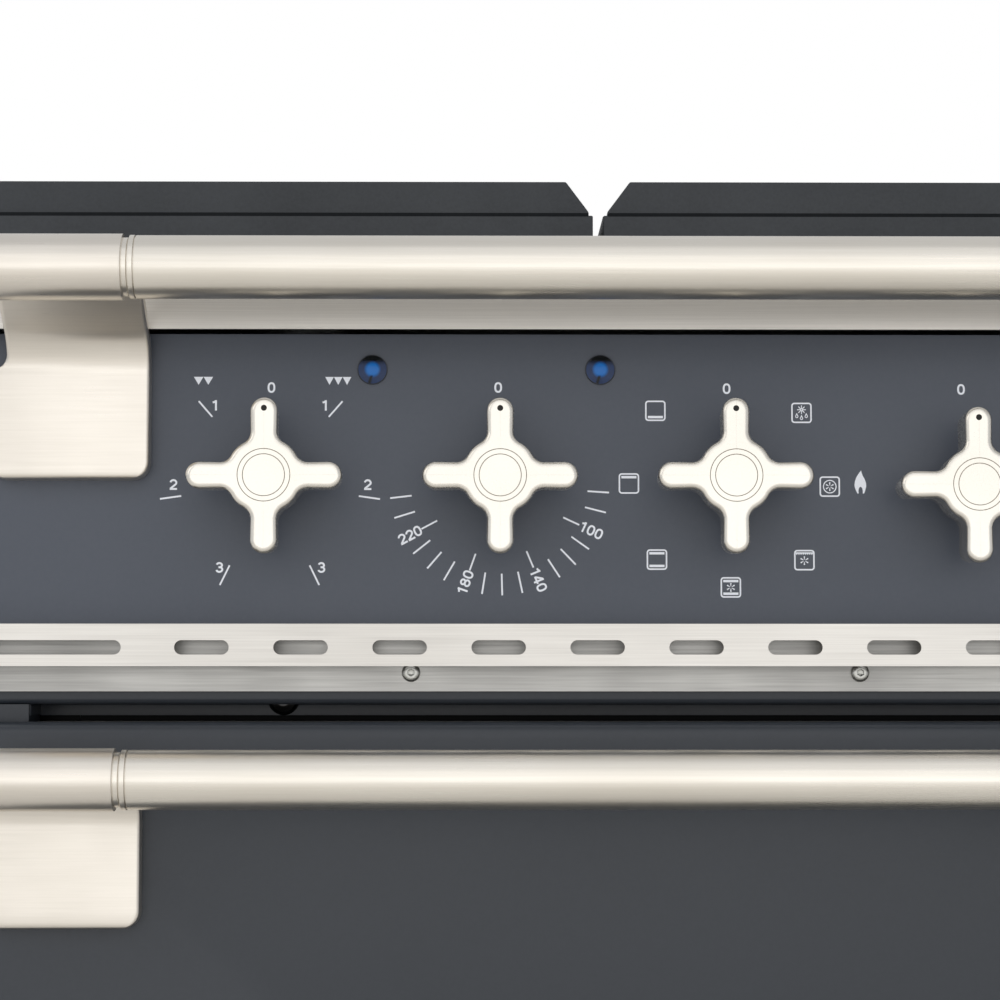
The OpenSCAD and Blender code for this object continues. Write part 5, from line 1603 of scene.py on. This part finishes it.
@dataclass
class FoldedFronts:
    """Folded fronts of the oven door and the drawer.

    Attributes:
        bench: The frame.
        edge: Radius of the folded edges.
        corner: Radius of the outline's corners.
    """

    bench: Bench
    edge: float = 7.0
    corner: float = 1.2

    def front(self, node: str, window: tuple[float, float, float] | None) -> Shape:
        """Skins a folded front from its rear flange over the face.

        The rings follow the outline up the sides and round the folded edge. With a
        window, the face ends at the window's outline and turns in to the pane.

        Args:
            node: CAD node to stand for.
            window: Width, height and middle height of the window, if it has one.

        Returns:
            The shape.
        """
        low, high = self.bench.low(node), self.bench.high(node)
        outline = box_outline((low[0], low[2]), (high[0], high[2]), self.corner, 8)
        rear, face = -high[1], -low[1]
        insets, left = quarter(self.edge, 7)
        inner = box_outline((low[0] + 24, low[2] + 22), (high[0] - 24, high[2] - 22), 4.0, 8)
        rings = [inner.inset(), outline.inset(1.0), outline.inset()]
        heights = [rear, rear, rear + 0.5]
        rings += [outline.inset(float(a)) for a in insets]
        heights += (face - left).tolist()
        if window:
            width, height, middle = window
            hole = box_outline((-width / 2, middle - height / 2), (width / 2, middle + height / 2), 12.0, 8)
            bend_in, bend_left = quarter(0.8, 3)
            rings += [hole.inset(-float(a)) for a in bend_left]
            heights += (face - bend_in).tolist()
            rings += [hole.inset()]
            heights += [face - 1.5]
        return Shape().stack(rings, heights, Place(Facing.FRONT), False, not window)

    def build(self) -> None:
        """Builds the door skin with its window and the drawer front."""
        pane = self.bench.middle("door_glass")
        door = self.front("door_skin", (560.0, 220.0, pane[2]))
        self.bench.finish(door, "door_skin_folded", SHADED_BODY_ENAMEL, "door", "door_skin")
        drawer = self.front("drawer_front", None)
        self.bench.finish(drawer, "drawer_front_folded", SHADED_BODY_ENAMEL, "drawer", "drawer_front")


# ---------------------------------------------------------------- hob


@dataclass
class BurnerCaps:
    """Enamelled iron caps of the five burners, turned with a dished top."""

    bench: Bench

    def build(self) -> None:
        """Turns a cap over each CAD cap.

        The profile rises from the seat over a rounded rim to a raised ring and dips
        slightly towards the middle.
        """
        points = self.bench.points("burner_caps")
        seat = points[:, 2].min()
        middles, reach = self.centres(points)
        shape = Shape()
        for (x, y), r in zip(middles, reach):
            profile = softened([[0.0, 0.0], [0.0, r - 1.2], [1.4, r], [3.6, r - 1.0], [6.0, r - 7.0],
                                [5.2, r * 0.5], [5.0, 0.0]], 1.6, 5)
            shape.lathe(profile, Place(Facing.UP, (x, y, seat)), 72)
        self.bench.finish(shape, "burner_caps_turned", CAP_ENAMEL, ROOT, "burner_caps", angle=45.0)

    @staticmethod
    def centres(points: Array) -> tuple[list[Array], list[float]]:
        """Splits the caps' points into five groups by their place on the hob.

        Args:
            points: Points of all caps.

        Returns:
            The middle and the radius of each cap.
        """
        middles, reach = [], []
        side = np.abs(points[:, 0]) > 120.0
        rear = points[:, 1] > np.median(points[:, 1][~side])
        for x_sign in (-1.0, 0.0, 1.0):
            for back in (False, True):
                chosen = (~side if x_sign == 0.0 else side & (np.sign(points[:, 0]) == x_sign)
                          & (rear == back))
                if x_sign == 0.0 and back:
                    continue
                group = points[chosen][:, :2]
                middles.append((group.min(axis=0) + group.max(axis=0)) / 2.0)
                reach.append(float(np.ptp(group[:, 0]) / 2.0))
        return middles, reach


# ---------------------------------------------------------------- studio


@dataclass
class Studio:
    """Plain pale floor, soft lights and the camera at the photograph's place.

    Attributes:
        panel_depth: Scene depth of the control panel face in millimetres.
        eye: Camera position: x, distance in front of the panel and height.
        pitch: Degrees upwards.
        yaw: Degrees to the right.
        focal: Focal length in pixels of the photograph's frame.
        frame: Width of the photograph's frame in pixels.
        even: Strength of the light from all round.
        gleam: Strength of the surroundings in reflections.
    """

    panel_depth: float
    eye: tuple[float, float, float] = (-249.2, 1116.3, 719.0)
    pitch: float = 4.201
    yaw: float = 0.506
    focal: float = 2723.2
    frame: float = 1000.0
    even: float = 0.74
    gleam: float = 0.68

    def camera(self) -> None:
        """Sets the camera. Its lens is the focal length on a 36 mm wide sensor."""
        data = bpy.data.cameras.new("photo_camera")
        data.sensor_width = 36.0
        data.lens = self.focal / self.frame * data.sensor_width
        data.clip_start = 0.05
        camera = show("photo_camera", data)
        camera.location = (self.eye[0] * MM, (self.panel_depth - self.eye[1]) * MM, self.eye[2] * MM)
        camera.rotation_euler = (np.radians(90.0 + self.pitch), 0.0, -np.radians(self.yaw))
        bpy.context.scene.camera = camera

    def lamp(self, name: str, at: Sequence[float], aim: Sequence[float], size: tuple[float, float],
             power: float, tint: str) -> None:
        """Adds a soft rectangular light.

        Args:
            name: Name of the light.
            at: Position in metres.
            aim: Point it looks at in metres.
            size: Width and height in metres.
            power: Watts.
            tint: Colour.
        """
        data = bpy.data.lights.new(name, "AREA")
        data.shape = "RECTANGLE"
        data.size, data.size_y = size
        data.energy = power
        data.color = linear(tint)[:3]
        light = show(name, data)
        light.location = at
        light.rotation_euler = (Vector(aim) - Vector(at)).to_track_quat("-Z", "Y").to_euler()

    def world(self) -> None:
        """Lights the scene evenly and shows white behind the object."""
        world = bpy.data.worlds.new("studio")
        bpy.context.scene.world = world
        world.use_nodes = True
        tree = world.node_tree
        tree.nodes.clear()
        path = add(tree, "ShaderNodeLightPath").outputs
        even = add(tree, "ShaderNodeBackground", {"Color": linear("#ffffff"), "Strength": self.even})
        gleam = add(tree, "ShaderNodeBackground", {"Color": linear("#fcfdff"), "Strength": self.gleam})
        white = add(tree, "ShaderNodeBackground", {"Color": linear("#ffffff"), "Strength": 1.0})
        shiny = add(tree, "ShaderNodeMath", {}, {0: path["Is Glossy Ray"], 1: path["Is Transmission Ray"]},
                    operation="MAXIMUM").outputs[0]
        first = add(tree, "ShaderNodeMixShader", {}, {0: shiny, 1: even.outputs[0], 2: gleam.outputs[0]})
        second = add(tree, "ShaderNodeMixShader", {},
                     {0: path["Is Camera Ray"], 1: first.outputs[0], 2: white.outputs[0]})
        add(tree, "ShaderNodeOutputWorld", {}, {"Surface": second.outputs[0]})

    def floor(self) -> None:
        """Lays a wide pale floor as a grid of points at height zero."""
        span = np.linspace(-4000.0, 4000.0, 9)
        x, y = np.meshgrid(span, span, indexing="ij")
        grid = np.stack([x, y, np.zeros_like(x)], axis=-1)
        mesh = Shape().skin(grid, False, False, False).mesh("floor", 0.0)
        floor = show("floor", mesh)
        pale = Finish("pale_floor", "#eceae6", "#e6e4e0", 0.6, 0.05, 0.0, (300.0, 300.0, 300.0), 0.01, 0.5,
                      900.0)
        mesh.materials.append(pale.material())

    def build(self) -> None:
        """Sets the view transform, camera, world, lights and floor."""
        bpy.context.scene.view_settings.view_transform = "Standard"
        self.camera()
        self.world()
        self.floor()
        self.lamp("front", (-0.2, -2.9, 1.45), (-0.2, 0.0, 1.3), (2.8, 2.3), 11.6, "#fffdf9")
        self.lamp("low", (-0.2, -1.7, 0.56), (-0.2, 0.0, 0.8), (2.8, 0.9), 1.9, "#fffdf9")
        self.lamp("upper", (-0.2, -1.7, 2.6), (-0.2, -0.2, 0.85), (2.8, 1.6), 4.0, "#ffffff")
        self.lamp("side", (-2.4, -1.6, 2.0), (-0.1, -0.1, 0.8), (1.6, 1.6), 6.0, "#fffaf2")


def main() -> None:
    """Builds the cooker piece by piece, then the studio."""
    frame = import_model()
    slots = {part["node"]: part["material_slot"] for part in frame["record"]["subparts"]}
    panel_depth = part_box("control_panel")[0][1] / MM
    bench = Bench(frame["nodes"], slots, panel_depth)
    for assembly in (SheetMetalAndFittings(bench), CrossKnobs(bench), RailAndHandles(bench),
                     SmallFittings(bench), PanelMarks(bench), FoldedFronts(bench), BurnerCaps(bench)):
        assembly.build()
        LOG.info("%s built", type(assembly).__name__)
    Studio(panel_depth).build()


if __name__ == "__main__":
    logging.basicConfig(level=logging.INFO, format="%(message)s")
    main()
